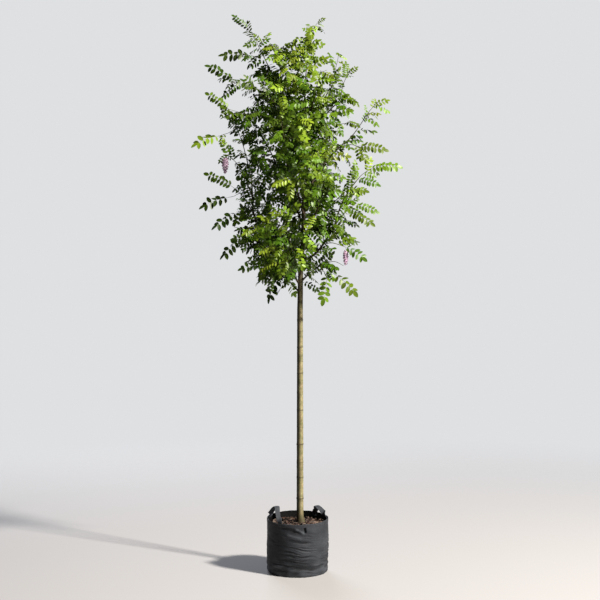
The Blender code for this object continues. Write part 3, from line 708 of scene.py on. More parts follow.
@dataclass(frozen=True)
class WovenTape(Finish):
    """Black polypropylene, slit into flat tapes and plain woven, as growing bags are made of.

    The tapes give a fine basket pattern with a dull plastic gloss; dust greys it and creases rub paler.
    Painted light makes the side towards the light and the ridges paler still, painted shade darkens the
    folds, and the inside is painted near black as painted shade. The weave is laid along the piece's own UV
    map in metres, and it is drawn as wide as it needs to be to show.
    """

    name: str = "woven_polypropylene_tape"
    tape: float = 0.0026
    dust_patch: float = 0.142857
    shade: str = "#121417"
    lighter: str = "#25282d"
    dust_and_painted_light: str = "#666a72"
    painted_inner_shade: str = "#0a0908"
    roughness: float = 0.48

    def surface(self, tree: Tree) -> Node:
        """Adds the weave, its dust, the painted light and the painted shade inside, as Finish.surface says.
        """
        where = add_node(tree, "TexCoord")
        cloth = where.outputs["UV"]
        over = add_node(tree, "TexChecker", {"Scale": 1 / self.tape, "Vector": cloth})
        upright, level = (
            add_node(tree, "TexWave", {"bands_direction": way, "Scale": bands_for(self.tape),
                                       "Distortion": 0.4, "Vector": cloth}).outputs["Fac"]
            for way in "XY")
        weave = add_node(tree, "Mix", {"data_type": "FLOAT", "Factor": over.outputs["Fac"],
                                       "A": upright, "B": level})
        patches = add_node(tree, "TexNoise", {"Scale": 1 / self.dust_patch, "Detail": 6.0,
                                              "Roughness": 0.6, "Vector": where.outputs["Object"]})
        woven = add_node(tree, "Mix", {"data_type": "RGBA", "Factor": weave,
                                       "A": self.shade, "B": self.lighter})
        # The attribute holds real wear and dust together with painted light and shade; both turn the cloth
        # grey.
        wear = add_node(tree, "Attribute", {"attribute_name": "wear"}).outputs["Fac"]
        amount = add_node(tree, "Math", {"operation": "MULTIPLY_ADD", 0: patches, 1: 0.55, 2: wear})
        dust_and_light_share = add_node(tree, "MapRange", {"Value": amount, "From Min": 0.34, "From Max": 1.3,
                                            "To Max": 0.58})
        greyed = add_node(tree, "Mix", {"data_type": "RGBA", "Factor": dust_and_light_share, "A": woven, "B": self.dust_and_painted_light})
        # Painted shade: the inner shell of the wall is painted near black.
        inside = add_node(tree, "Attribute", {"attribute_name": "stain"}).outputs["Fac"]
        colour = add_node(tree, "Mix", {"data_type": "RGBA", "Factor": inside,
                                        "A": greyed, "B": self.painted_inner_shade})
        rough = add_node(tree, "MapRange", {"Value": patches, "To Min": self.roughness - 0.14,
                                            "To Max": 0.82})
        bump = add_node(tree, "Bump", {"Strength": 0.55, "Distance": self.tape / 6, "Height": weave})
        return add_node(tree, "BsdfPrincipled", {"Base Color": colour, "Roughness": rough, "Normal": bump,
                                                 "IOR": 1.49, "Specular IOR Level": 0.25})


@dataclass(frozen=True)
class SewingThread(Finish):
    """Bonded polyester thread, twisted from three plies: dull charcoal, a little paler than the cloth."""

    name: str = "twisted_polyester_thread"
    pale: str = "#45454a"
    dark: str = "#2c2c30"
    twist: float = 0.0012

    def surface(self, tree: Tree) -> Node:
        """Adds the slanting plies, as Finish.surface says."""
        place = add_node(tree, "TexCoord").outputs["Object"]
        plies = add_node(tree, "TexWave", {"bands_direction": "DIAGONAL", "Scale": bands_for(self.twist),
                                           "Vector": place}).outputs["Fac"]
        colour = add_node(tree, "Mix", {"data_type": "RGBA", "Factor": plies,
                                        "A": self.dark, "B": self.pale})
        bump = add_node(tree, "Bump", {"Strength": 0.5, "Distance": self.twist / 6, "Height": plies})
        return add_node(tree, "BsdfPrincipled", {"Base Color": colour, "Roughness": 0.7, "IOR": 1.55,
                                                 "Normal": bump})


@dataclass(frozen=True)
class YoungStemBark(Finish):
    """Smooth young bark of a wisteria stem: pale olive tan, mottled green, with level pores and ring scars.

    The side away from the light is painted dark and mottled, as painted shade. The bark is painted darker
    inside and just under the crown, as painted shade of the crown, and it is browner at the foot.
    """

    name: str = "smooth_young_bark"
    sunny: str = "#aa9c6e"
    green: str = "#797648"
    shaded: str = "#2c2913"
    scar: str = "#2a2114"
    pore: str = "#5a4c31"
    crown_shade_and_foot_brown: str = "#3d3522"
    mottle: float = 0.0384615
    pore_step: float = 0.0181818
    grain: float = 0.025
    # Where the painted shade on the stem's left side begins, and where it is full.
    shade_side_from: float = STEM_X + 0.007
    shade_side_full: float = STEM_X - 0.008
    # The heights where the crown's painted shade on the stem begins and is full, and where the foot turns
    # browner.
    crown_shade_from: float = 1.56
    crown_shade_full: float = 1.92
    foot_brown_from: float = 0.42
    foot_brown_full: float = 0.335

    def surface(self, tree: Tree) -> Node:
        """Adds the mottling, the painted shade, the pores, the grain and the scars, as Finish.surface says.
        """
        place = add_node(tree, "TexCoord").outputs["Object"]
        mottle = add_node(tree, "TexNoise", {"Scale": 1 / self.mottle, "Detail": 5.0, "Roughness": 0.6,
                                             "Vector": place})
        patches = add_node(tree, "MapRange", {"Value": mottle, "From Min": 0.38, "From Max": 0.66})
        base = add_node(tree, "Mix", {"data_type": "RGBA", "Factor": patches,
                                      "A": self.sunny, "B": self.green})
        split = add_node(tree, "SeparateXYZ", {"Vector": place})
        # Painted shade: the stem's left side, away from the light, is painted dark, with dark mottles all
        # round.
        away = add_node(tree, "MapRange", {"Value": split.outputs["X"], "From Min": self.shade_side_from,
                                           "From Max": self.shade_side_full, "To Max": 0.88})
        dark_mottle = add_node(tree, "Math", {"operation": "MULTIPLY_ADD", 0: mottle, 1: 0.35, 2: -0.12})
        painted_side_shade = add_node(tree, "Math", {"operation": "ADD", "use_clamp": True, 0: away, 1: dark_mottle})
        sided = add_node(tree, "Mix", {"data_type": "RGBA", "Factor": painted_side_shade, "A": base, "B": self.shaded})
        squeezed = add_node(tree, "Mapping", {"Scale": (1.0, 1.0, 5.0), "Vector": place})
        level = add_node(tree, "TexNoise", {"Scale": 1 / self.pore_step, "Detail": 2.0, "Vector": squeezed})
        pores = add_node(tree, "MapRange", {"Value": level, "From Min": 0.63, "From Max": 0.70,
                                            "To Max": 0.75})
        dotted = add_node(tree, "Mix", {"data_type": "RGBA", "Factor": pores, "A": sided, "B": self.pore})
        stretched = add_node(tree, "Mapping", {"Scale": (7.0, 7.0, 0.4), "Vector": place})
        grain = add_node(tree, "TexNoise", {"Scale": 1 / self.grain, "Detail": 4.0, "Vector": stretched})
        streaked = add_node(tree, "Mix", {"data_type": "RGBA", "blend_type": "OVERLAY", "Factor": 0.35,
                                          "A": dotted, "B": grain.outputs["Color"]})
        grey = add_node(tree, "HueSaturation", {"Saturation": 0.92, "Color": streaked})
        # Painted shade: the stem inside and under the crown is painted darker; the foot is browner.
        higher = add_node(tree, "MapRange", {"Value": split.outputs["Z"], "From Min": self.crown_shade_from,
                                             "From Max": self.crown_shade_full, "To Max": 0.85})
        lower = add_node(tree, "MapRange", {"Value": split.outputs["Z"], "From Min": self.foot_brown_from,
                                            "From Max": self.foot_brown_full, "To Max": 0.78})
        ends = add_node(tree, "Math", {"operation": "MAXIMUM", 0: higher, 1: lower})
        browner = add_node(tree, "Mix", {"data_type": "RGBA", "Factor": ends,
                                         "A": grey, "B": self.crown_shade_and_foot_brown})
        scars = add_node(tree, "Attribute", {"attribute_name": "scar"}).outputs["Fac"]
        scarred = add_node(tree, "Mix", {"data_type": "RGBA", "Factor": scars,
                                         "A": browner, "B": self.scar})
        relief = add_node(tree, "Math", {"operation": "MULTIPLY_ADD", 0: grain, 1: 0.5, 2: level})
        bump = add_node(tree, "Bump", {"Strength": 0.45, "Distance": 0.0012, "Height": relief})
        return add_node(tree, "BsdfPrincipled", {"Base Color": scarred, "Roughness": 0.66, "IOR": 1.45,
                                                 "Normal": bump})


@dataclass(frozen=True)
class TwigBark(Finish):
    """Two-year wood: thin brown bark with fine ridges and pale dots of pores."""

    name: str = "brown_twig_bark"
    dark: str = "#2f2519"
    brown: str = "#4a3d27"
    pale: str = "#6a5b3e"
    ridge: float = 0.0142857
    dot_step: float = 0.00588235

    def surface(self, tree: Tree) -> Node:
        """Adds the ridges and the dots, as Finish.surface says."""
        place = add_node(tree, "TexCoord").outputs["Object"]
        grain = add_node(tree, "TexNoise", {"Scale": 1 / self.ridge, "Detail": 6.0, "Roughness": 0.7,
                                            "Vector": place})
        dots = add_node(tree, "TexVoronoi", {"Scale": 1 / self.dot_step, "Vector": place})
        spots = add_node(tree, "MapRange", {"Value": dots, "From Min": 0.22, "From Max": 0.12,
                                            "To Max": 0.6})
        base = add_node(tree, "ValToRGB", {"stops": [(0.30, self.dark), (0.75, self.brown)], 0: grain})
        colour = add_node(tree, "Mix", {"data_type": "RGBA", "Factor": spots, "A": base, "B": self.pale})
        bump = add_node(tree, "Bump", {"Strength": 0.6, "Distance": 0.0008, "Height": grain})
        return add_node(tree, "BsdfPrincipled", {"Base Color": colour, "Roughness": 0.78, "IOR": 1.45,
                                                 "Normal": bump})


@dataclass(frozen=True)
class GreenStalk(Finish):
    """This year's growth: a smooth waxy green stalk, browner where it is older."""

    name: str = "waxy_green_stalk"
    green: str = "#4f5b22"
    brown: str = "#3f3320"
    patch: float = 0.0714286

    def surface(self, tree: Tree) -> Node:
        """Adds the brown patches, as Finish.surface says."""
        place = add_node(tree, "TexCoord").outputs["Object"]
        patches = add_node(tree, "TexNoise", {"Scale": 1 / self.patch, "Detail": 3.0, "Vector": place})
        colour = add_node(tree, "ValToRGB", {"stops": [(0.38, self.green), (0.66, self.brown)], 0: patches})
        return add_node(tree, "BsdfPrincipled", {"Base Color": colour, "Roughness": 0.48, "IOR": 1.45})


@dataclass(frozen=True)
class LeafBlade(Finish):
    """Thin wisteria leaflets: waxy green above and paler below, letting sunlight through.

    Young leaves are yellow-green and darken as they age, which the piece's age attribute says. The age also
    carries painted light and shade, mostly paler on the crown's right and darker on its left. The veins are
    laid along each leaflet's own UV map, where the leaflet is 1 long and 1 wide.
    """

    name: str = "waxy_leaf_blade"
    youngest: str = "#a9bf35"
    young: str = "#84a524"
    grown: str = "#50770e"
    oldest: str = "#274406"
    below: str = "#859a40"
    vein: str = "#9db63e"
    glow: Colour = (1.12, 1.06, 0.33, 1.0)
    light_through: float = 0.22
    vein_step: float = 0.11
    vein_slant: float = 0.55

    def surface(self, tree: Tree) -> Node:
        """Adds the colours of age, the veins and the light that shines through, as Finish.surface says."""
        age, tint, under = (add_node(tree, "Attribute", {"attribute_name": name}).outputs["Fac"]
                            for name in ("age", "tint", "underside"))
        stops = [(0.0, self.youngest), (0.33, self.young), (0.66, self.grown), (1.0, self.oldest)]
        by_age = add_node(tree, "ValToRGB", {"stops": stops, 0: age})
        value = add_node(tree, "MapRange", {"Value": tint, "To Min": 0.60, "To Max": 1.34})
        hue = add_node(tree, "MapRange", {"Value": tint, "To Min": 0.488, "To Max": 0.508})
        varied = add_node(tree, "HueSaturation", {"Hue": hue, "Value": value, "Color": by_age})
        split = add_node(tree, "SeparateXYZ", {"Vector": add_node(tree, "TexCoord").outputs["UV"]})
        off_rib = add_node(tree, "Math", {"operation": "SUBTRACT", 0: split.outputs["Y"], 1: 0.5})
        from_rib = add_node(tree, "Math", {"operation": "ABSOLUTE", 0: off_rib})
        rib = add_node(tree, "MapRange", {"Value": from_rib, "From Min": 0.05, "From Max": 0.015,
                                          "To Max": 0.55})
        slanted = add_node(tree, "Math", {"operation": "MULTIPLY_ADD", 0: from_rib, 1: -self.vein_slant,
                                          2: split.outputs["X"]})
        turns = add_node(tree, "Math", {"operation": "MULTIPLY", 0: slanted, 1: math.tau / self.vein_step})
        ripple = add_node(tree, "Math", {"operation": "SINE", 0: turns})
        side_veins = add_node(tree, "MapRange", {"Value": ripple, "From Min": 0.82, "To Max": 0.22})
        veins = add_node(tree, "Math", {"operation": "MAXIMUM", 0: rib, 1: side_veins})
        veined = add_node(tree, "Mix", {"data_type": "RGBA", "Factor": veins, "A": varied, "B": self.vein})
        paler = add_node(tree, "Math", {"operation": "MULTIPLY", 0: under, 1: 0.36})
        colour = add_node(tree, "Mix", {"data_type": "RGBA", "Factor": paler, "A": veined, "B": self.below})
        bump = add_node(tree, "Bump", {"Strength": 0.35, "Distance": 0.0004, "Height": veins})
        shader = add_node(tree, "BsdfPrincipled", {"Base Color": colour, "Roughness": 0.40, "IOR": 1.48,
                                                   "Normal": bump})
        glow = add_node(tree, "Mix", {"data_type": "RGBA", "blend_type": "MULTIPLY", "Factor": 1.0,
                                      "A": varied, "B": self.glow})
        through = add_node(tree, "BsdfTranslucent", {"Color": glow})
        return add_node(tree, "MixShader", {0: self.light_through, 1: shader, 2: through})


@dataclass(frozen=True)
class LilacPetal(Finish):
    """Soft, matt petals of lilac: paler banners, deeper wings, which the piece's depth attribute says."""

    name: str = "soft_lilac_petal"
    pale: str = "#ecd0e3"
    deep: str = "#ad7fae"
    mottle: float = 0.00833333

    def surface(self, tree: Tree) -> Node:
        """Adds the mottled lilac, as Finish.surface says."""
        place = add_node(tree, "TexCoord").outputs["Object"]
        depth = add_node(tree, "Attribute", {"attribute_name": "depth"}).outputs["Fac"]
        mottle = add_node(tree, "TexNoise", {"Scale": 1 / self.mottle, "Detail": 3.0, "Vector": place})
        amount = add_node(tree, "Math", {"operation": "MULTIPLY_ADD", 0: mottle, 1: 0.4, 2: depth})
        colour = add_node(tree, "ValToRGB", {"stops": [(0.1, self.pale), (1.1, self.deep)], 0: amount})
        return add_node(tree, "BsdfPrincipled", {"Base Color": colour, "Roughness": 0.6, "IOR": 1.4,
                                                 "Sheen Weight": 0.3})


@dataclass(frozen=True)
class ChippedPineBark(Finish):
    """Chipped pine bark: fibrous plates from pinkish grey to red brown, each chip its own tone."""

    name: str = "chipped_pine_bark"
    grey: str = "#a08a7a"
    red: str = "#5d3d2d"
    dark: str = "#150d08"
    fibre: float = 0.00526316
    layer: float = 0.004

    def surface(self, tree: Tree) -> Node:
        """Adds the tones, the fibres and the layers, as Finish.surface says."""
        place = add_node(tree, "TexCoord").outputs["Object"]
        tone = add_node(tree, "Attribute", {"attribute_name": "tone"}).outputs["Fac"]
        fibres = add_node(tree, "TexNoise", {"Scale": 1 / self.fibre, "Detail": 6.0, "Roughness": 0.7,
                                             "Vector": place})
        layers = add_node(tree, "TexWave", {"Scale": bands_for(self.layer), "Distortion": 6.0,
                                            "Detail": 3.0, "Vector": place}).outputs["Fac"]
        stops = [(0.0, self.dark), (0.45, self.red), (1.0, self.grey)]
        by_tone = add_node(tree, "ValToRGB", {"stops": stops, 0: tone})
        worked = add_node(tree, "Mix", {"data_type": "RGBA", "blend_type": "OVERLAY", "Factor": 0.7,
                                        "A": by_tone, "B": fibres.outputs["Color"]})
        calm = add_node(tree, "HueSaturation", {"Saturation": 0.85, "Color": worked})
        relief = add_node(tree, "Math", {"operation": "ADD", 0: fibres, 1: layers})
        bump = add_node(tree, "Bump", {"Strength": 0.7, "Distance": 0.0012, "Height": relief})
        return add_node(tree, "BsdfPrincipled", {"Base Color": calm, "Roughness": 0.88, "IOR": 1.45,
                                                 "Normal": bump})


@dataclass(frozen=True)
class MoistCompost(Finish):
    """Moist potting compost: near-black brown crumbs."""

    name: str = "moist_compost_crumb"
    dark: str = "#1d140d"
    light: str = "#4a3525"
    crumb: float = 0.00454545

    def surface(self, tree: Tree) -> Node:
        """Adds the crumbs, as Finish.surface says."""
        place = add_node(tree, "TexCoord").outputs["Object"]
        crumbs = add_node(tree, "TexVoronoi", {"Scale": 1 / self.crumb, "Vector": place})
        colour = add_node(tree, "ValToRGB", {"stops": [(0.1, self.light), (0.7, self.dark)], 0: crumbs})
        bump = add_node(tree, "Bump", {"Strength": 0.9, "Distance": 0.002, "invert": True,
                                       "Height": crumbs})
        return add_node(tree, "BsdfPrincipled", {"Base Color": colour, "Roughness": 0.95, "IOR": 1.4,
                                                 "Normal": bump})


@dataclass(frozen=True)
class StudioFloor(Finish):
    """Matt painted floor of the studio, which fades into the background far from the plant."""

    name: str = "pale_studio_floor"
    paint: str = "#cecccc"
    fade_from: float = 1.2
    fade_to: float = 7.5

    def surface(self, tree: Tree) -> Node:
        """Adds the paint and how it fades, as Finish.surface says."""
        place = add_node(tree, "TexCoord").outputs["Object"]
        distance = add_node(tree, "VectorMath", {"operation": "LENGTH", 0: place}).outputs["Value"]
        far = add_node(tree, "MapRange", {"interpolation_type": "SMOOTHSTEP", "Value": distance,
                                          "From Min": self.fade_from, "From Max": self.fade_to})
        shader = add_node(tree, "BsdfPrincipled", {"Base Color": self.paint, "Roughness": 0.85})
        return add_node(tree, "MixShader", {0: far, 1: shader, 2: add_node(tree, "BsdfTransparent")})


@dataclass(frozen=True)
class Palette:
    """Every finish of the plant and its bag, made once."""

    cloth: bpy.types.Material
    thread: bpy.types.Material
    stem: bpy.types.Material
    twig: bpy.types.Material
    stalk: bpy.types.Material
    leaf: bpy.types.Material
    petal: bpy.types.Material
    chips: bpy.types.Material
    compost: bpy.types.Material


def make_palette() -> Palette:
    """Makes the materials of the plant and its bag.

    Returns:
        The materials.
    """
    kinds = (WovenTape, SewingThread, YoungStemBark, TwigBark, GreenStalk, LeafBlade, LilacPetal,
             ChippedPineBark, MoistCompost)
    return Palette(*(kind().material() for kind in kinds))


# The planting bag


@dataclass
class PlantingBag:
    """The round woven bag: its wall, base panel, two strap handles and all its stitching."""

    palette: Palette
    radius: float = 0.200
    height: float = 0.347
    wall: float = 0.0022
    rim_rise_at_back: float = 0.010
    rim_wave: float = 0.0022
    belly: float = 0.0025
    foot_tuck: float = 0.006
    foot_share: float = 0.08
    foot_seam: float = 0.0035
    crease: float = 0.0016
    creases: int = 5
    sides: int = 264
    rows: int = 112
    hem: float = 0.024
    hem_step: float = 0.0005
    # How far the cloth's slack, sharp folds, crumpled foot and seam gathers stand out.
    slack: float = 0.0030
    fold: float = 0.0050
    crumple: float = 0.0074
    gather: float = 0.0011
    # The heights where the sharp folds and the crumples are greatest, and how far they spread from there.
    folds_at: tuple = (0.13, 0.13)
    crumples_at: tuple = (0.044, 0.036)
    # Where the rim folds inwards: its middle and half width in degrees, how far it sinks and leans in.
    rim_fold: tuple = (-42.0, 13.0, 0.0070, 0.016)
    base_gap: float = 0.013
    strap_width: float = 0.034
    strap_thickness: float = 0.0024
    strap_shoulder_share: float = 0.56
    strap_shoulder_at: float = 0.42
    strap_twist_from: float = 0.006
    strap_twist_length: float = 0.034
    strap_seam_room: float = 0.003
    strap_foot: float = 0.329
    stitch: float = 0.0062
    stitch_step: float = 0.0090
    thread: float = 0.0007
    hem_rows: tuple = (0.005, 0.020)
    back_seam: float = 97.0
    # The crossed box at a strap's end: its half width, and its lower and upper edges below the rim.
    box: tuple = (0.013, 0.0175, 0.0070)
    # Each handle's side, the two turns where it is sewn in, its height above the rim and how far it leans in.
    handles: tuple = (("left", 178.0, 233.0, 0.084, 0.040), ("right", 3.0, 54.0, 0.064, 0.046))
    # The turn of the tuck, and its pit and ridges: both ends as (across, below the rim), half width and how
    # far each stands out.
    tuck_at: float = -76.3
    tuck_lines: tuple = (
        (0.000, 0.027, 0.004, 0.050, 0.0052, -0.0135),
        (-0.056, 0.034, -0.010, 0.056, 0.0085, 0.0068),
        (-0.150, 0.028, -0.040, 0.050, 0.0120, -0.0066),
        (0.014, 0.030, 0.060, 0.040, 0.0200, 0.0020),
        (-0.110, 0.070, -0.030, 0.088, 0.0090, 0.0034),
    )

    def rim_height(self, turn: float) -> float:
        """The rim's height, which sags at the front and stands higher at the back."""
        return self.height + self.rim_rise_at_back * math.sin(turn)

    def plain_radius(self, turn: float, share: float) -> float:
        """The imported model's outside radius.

        Args:
            turn: The turn round the bag, in radians.
            share: The share of the bag's height.

        Returns:
            The radius there.
        """
        full = self.belly * (math.sin(math.pi * share) - 1.0)
        foot = self.foot_tuck * (1 - min(share / self.foot_share, 1.0)) ** 2
        return self.radius + full - foot + self.crease * share * math.sin(self.creases * turn + 1.0)

    def folds(self, turn: float, height: float) -> float:
        """How far the cloth stands out at a place, from its folds and creases.

        Args:
            turn: The turn round the bag, in radians.
            height: The height above the ground, in metres.

        Returns:
            The cloth's offset, in metres.
        """
        ring = ring_point(self.radius, turn)
        slack = noise.noise(ring * 6.0 + UP * height * 7.0) * self.slack
        sloping = height + 0.026 * math.cos(turn + 0.35)
        sloping += 0.012 * noise.noise(ring * 12.0 + UP * height * 12.0)
        fine = noise.ridged_multi_fractal(ring * 7.0 + UP * sloping * 62.0, 0.9, 2.1, 3, 1.0, 2.0) - 1.1
        where = 0.50 + 0.90 * noise.noise(ring * 8.0 + UP * height * 10.0 + Vector((3.1, 0.7, 0.2)))
        where += 0.30 * math.cos(turn + 1.0)
        middle = bell(height - self.folds_at[0], self.folds_at[1])
        low = bell(height - self.crumples_at[0], self.crumples_at[1])
        crumple = noise.noise(ring * 15.0 + UP * height * 40.0) * low
        gathers = math.sin(self.radius * turn * 62.0 + 9.0 * noise.noise(ring * 4.0))
        gathers *= math.exp(-height / 0.022)
        offset = slack + fine * max(0.0, where) * middle * self.fold
        return offset + crumple * self.crumple + gathers * self.gather + self.pinch(turn, height)

    def pinch(self, turn: float, height: float) -> float:
        """How far the tuck under the front rim, where slack cloth is nipped in between ridges, stands out.

        Args:
            turn: The turn round the bag.
            height: The height.

        Returns:
            The cloth's offset, which is below 0 in the pit.
        """
        spot = Vector(((turn - math.radians(self.tuck_at)) * self.radius, self.rim_height(turn) - height))
        if abs(spot.x) > self.radius:
            return 0.0
        out = 0.0
        for x0, y0, x1, y1, width, rise in self.tuck_lines:
            start, end = Vector((x0, y0)), Vector((x1, y1))
            share = held((spot - start).dot(end - start) / (end - start).length_squared)
            out += rise * bell((spot - start.lerp(end, share)).length, width)
        return out

    def folded_in(self, turn: float) -> float:
        """How much of the rim's inward fold there is at a turn, from 0 to 1."""
        across = (turn - math.radians(self.rim_fold[0])) / math.radians(self.rim_fold[1])
        return math.exp(-(across**4)) if abs(across) < 2.0 else 0.0

    def wear_and_painted_light_at(self, turn: float, offset: float, below_rim: float, height: float) -> float:
        """How dusty and worn the cloth is at the rim and by the ground, with painted light on the lit side
        and ridges.

        Args:
            turn: The turn round the bag.
            offset: How far the cloth stands out there.
            below_rim: How far below the rim the place is.
            height: How far above the ground it is.

        Returns:
            The wear, which is below 0 in the deepest folds.
        """
        edge = math.exp(-below_rim / 0.003)
        ground = math.exp(-height / 0.02)
        # Painted light: the side of the bag that faces the key light is painted paler, and the far side
        # darker.
        sunny = 0.42 * math.cos(turn + 0.45)
        # Ridges are painted paler and folds darker, partly as rubbed dust and partly as painted highlight and
        # shade.
        return held(0.08 + sunny + offset * 110.0 + 0.4 * edge + 0.2 * ground, -0.4, 1.2)

    def wall_point(self, turn: float, share: float) -> Vector:
        """A point of the wall's outside.

        Args:
            turn: The turn round the bag.
            share: The share of the wall's height.

        Returns:
            The point.
        """
        folded = self.folded_in(turn)
        rim = self.rim_height(turn) - self.rim_fold[2] * folded
        rim += self.rim_wave * noise.noise(ring_point(1.0, turn, 0.3) * 6.0)
        height = share * rim
        out = self.plain_radius(turn, share) + self.folds(turn, height)
        from_rim = rim - height
        if from_rim < self.hem:
            out += self.hem_step
        out -= self.rim_fold[3] * folded * bell(from_rim, 0.022)
        out -= self.foot_seam * math.exp(-height / 0.004)
        return ring_point(out, turn, height)

    def build_wall(self) -> None:
        """The side of the bag: one length of cloth, hemmed at the rim and lapped at the back."""
        wall = open_tube("bag_wall_cloth", self.sides, self.rows, False)
        # Each point's wear and dust, with painted light on the lit side and ridges and painted shade in
        # folds.
        wear = []
        for vert in wall.data.vertices:
            turn, share = math.atan2(vert.co.y, vert.co.x), vert.co.z + 0.5
            height = share * self.rim_height(turn)
            wear.append(self.wear_and_painted_light_at(turn, self.folds(turn, height), self.rim_height(turn) - height, height))
            vert.co = self.wall_point(turn, share)
        set_points(wall, "wear", wear)
        self.lay_cloth(wall.data)
        outside = len(wall.data.vertices)
        apply_modifier(wall, "SOLIDIFY", thickness=self.wall, offset=-1.0)
        # The inner shell is marked for the painted shade inside the bag.
        set_points(wall, "stain", [0.85 * (v.index >= outside) for v in wall.data.vertices])
        smooth(50)
        add_piece(dress(wall, self.palette.cloth), "bag_fabric", "bag_wall")

    def lay_cloth(self, mesh: bpy.types.Mesh) -> None:
        """Gives the wall a UV map in metres: along the ring, and up.

        Args:
            mesh: The wall's mesh.
        """
        layer = mesh.uv_layers.active or mesh.uv_layers.new()
        for face in mesh.polygons:
            points = [mesh.vertices[v].co for v in face.vertices]
            turns = [math.atan2(p.y, p.x) for p in points]
            wraps = max(turns) - min(turns) > math.pi
            for loop, point, turn in zip(face.loop_indices, points, turns):
                around = turn + math.tau if wraps and turn < 0 else turn
                layer.data[loop].uv = (around * self.radius, point.z)

    def build_base(self) -> None:
        """The round panel that the wall is sewn to, a little crumpled."""
        base = ringed_disc("bag_base_cloth", 96, self.radius - self.base_gap, 5, 0.030)
        for vert in base.data.vertices:
            vert.co.z = self.wall + 0.0008 * (1.0 + noise.noise(Vector((vert.co.x, vert.co.y, 0.0)) * 25.0))
        lay_pattern(base, {v.index: v.co.xy for v in base.data.vertices})
        apply_modifier(base, "SOLIDIFY", thickness=self.wall, offset=-1.0)
        add_piece(dress(base, self.palette.cloth), "bag_fabric", "bag_base")

    def strap_line(self, first: float, second: float, rise: float, lean: float) -> Line:
        """The middle line of a handle: sewn inside the rim at both turns, and arched between them.

        Args:
            first: The turn of the rim where one end is sewn in.
            second: The turn where the other end is.
            rise: How far the arch stands above the rim.
            lean: How far its top leans in.

        Returns:
            The line, from one end to the other.
        """
        tightest = min(self.plain_radius(k * math.tau / 60, 0.95) for k in range(60))
        against = tightest - self.wall - self.strap_thickness - self.strap_seam_room
        middle = (first + second) / 2
        shoulder = self.height + self.strap_shoulder_share * rise
        places = (
            (first, self.strap_foot, 0.0),
            (first, self.height, 0.0),
            (first + (middle - first) * self.strap_shoulder_at, shoulder, lean / 2),
            (middle, self.height + rise, lean),
            (second + (middle - second) * self.strap_shoulder_at, shoulder, lean / 2),
            (second, self.height, 0.0),
            (second, self.strap_foot, 0.0),
        )
        knots = [ring_point(against - inwards, turn, height) for turn, height, inwards in places]
        return smooth_line(knots, 10)

    def strap_axes(self, line: Line, row: int) -> tuple[Vector, Vector]:
        """The strap's two directions across its line.

        Its ends lie flat on the wall, and it turns above the rim to lie flat across the arch.

        Args:
            line: The strap's middle line.
            row: Which of its points is meant.

        Returns:
            The direction along the strap's width, and the one through its thickness.
        """
        place = line[row]
        direction = (line[min(row + 1, len(line) - 1)] - line[max(row - 1, 0)]).normalized()
        outward = Vector((place.x, place.y, 0.0)).normalized()
        above = place.z - self.rim_height(math.atan2(place.y, place.x)) - self.strap_twist_from
        share = held(above / self.strap_twist_length)
        wide = outward.cross(UP).lerp(outward, share * share * (3.0 - 2.0 * share))
        wide = (wide - direction * wide.dot(direction)).normalized()
        return wide, direction.cross(wide)

    def build_strap(self, side: str, line: Line) -> None:
        """One lifting handle: a folded strip of the bag's cloth.

        Args:
            side: The handle's side.
            line: Its middle line.
        """
        run = lengths_along(line)
        deselect()
        bpy.ops.mesh.primitive_grid_add(x_subdivisions=len(line) - 1, y_subdivisions=8, size=2.0)
        strap = take_new(f"bag_strap_{side}")
        places, wear = {}, []
        for vert in strap.data.vertices:
            row = round((vert.co.x + 1) / 2 * (len(line) - 1))
            side_way = vert.co.y
            wide, thin = self.strap_axes(line, row)
            arched = math.sin(math.pi * run[row] / run[-1])
            cupped = 0.0026 * (side_way**2 - 0.4) * arched
            ripple = 0.0011 * noise.noise(line[row] * 40.0 + wide * side_way)
            places[vert.index] = (run[row], side_way * self.strap_width / 2)
            vert.co = line[row] + wide * side_way * self.strap_width / 2 + thin * (cupped + ripple)
            wear.append(0.30 + 0.40 * abs(side_way) ** 6 + 0.35 * arched)
        lay_pattern(strap, places)
        set_points(strap, "wear", wear)
        apply_modifier(strap, "SOLIDIFY", thickness=self.strap_thickness, offset=0.0)
        apply_modifier(strap, "BEVEL", width=0.0006, segments=2, limit_method="ANGLE")
        smooth(40)
        add_piece(dress(strap, self.palette.cloth), "bag_fabric", f"bag_handle_{side}")

    def stitch_pattern(self) -> Piece:
        """One stitch: a short round thread that dives in at both ends.

        Returns:
            The stitch, along +X.
        """
        half, thick = self.stitch / 2, self.thread
        shape = ((-half, -thick), (-half * 0.6, thick * 0.5), (0, thick * 0.8), (half * 0.6, thick * 0.5),
                 (half, -thick))
        radii = [thick * 0.6, thick, thick, thick, thick * 0.6]
        return sticks_mesh("stitch", [Stick([Vector((x, 0, z)) for x, z in shape], radii)], 0,
                           self.palette.thread)

    def sew(self, pattern: Piece, turn: float, height: float, slant: float) -> Piece:
        """One stitch on the outside of the wall.

        Args:
            pattern: The stitch that is copied.
            turn: The turn round the bag.
            height: The height.
            slant: The stitch's turn out of level, in radians.

        Returns:
            The copy.
        """
        place = self.wall_point(turn, height / self.rim_height(turn))
        outward = ring_point(1.0, turn)
        along = UP.cross(outward) * math.cos(slant) + UP * math.sin(slant)
        return copy_of(pattern, seat(place, along, outward), "stitch_copy")

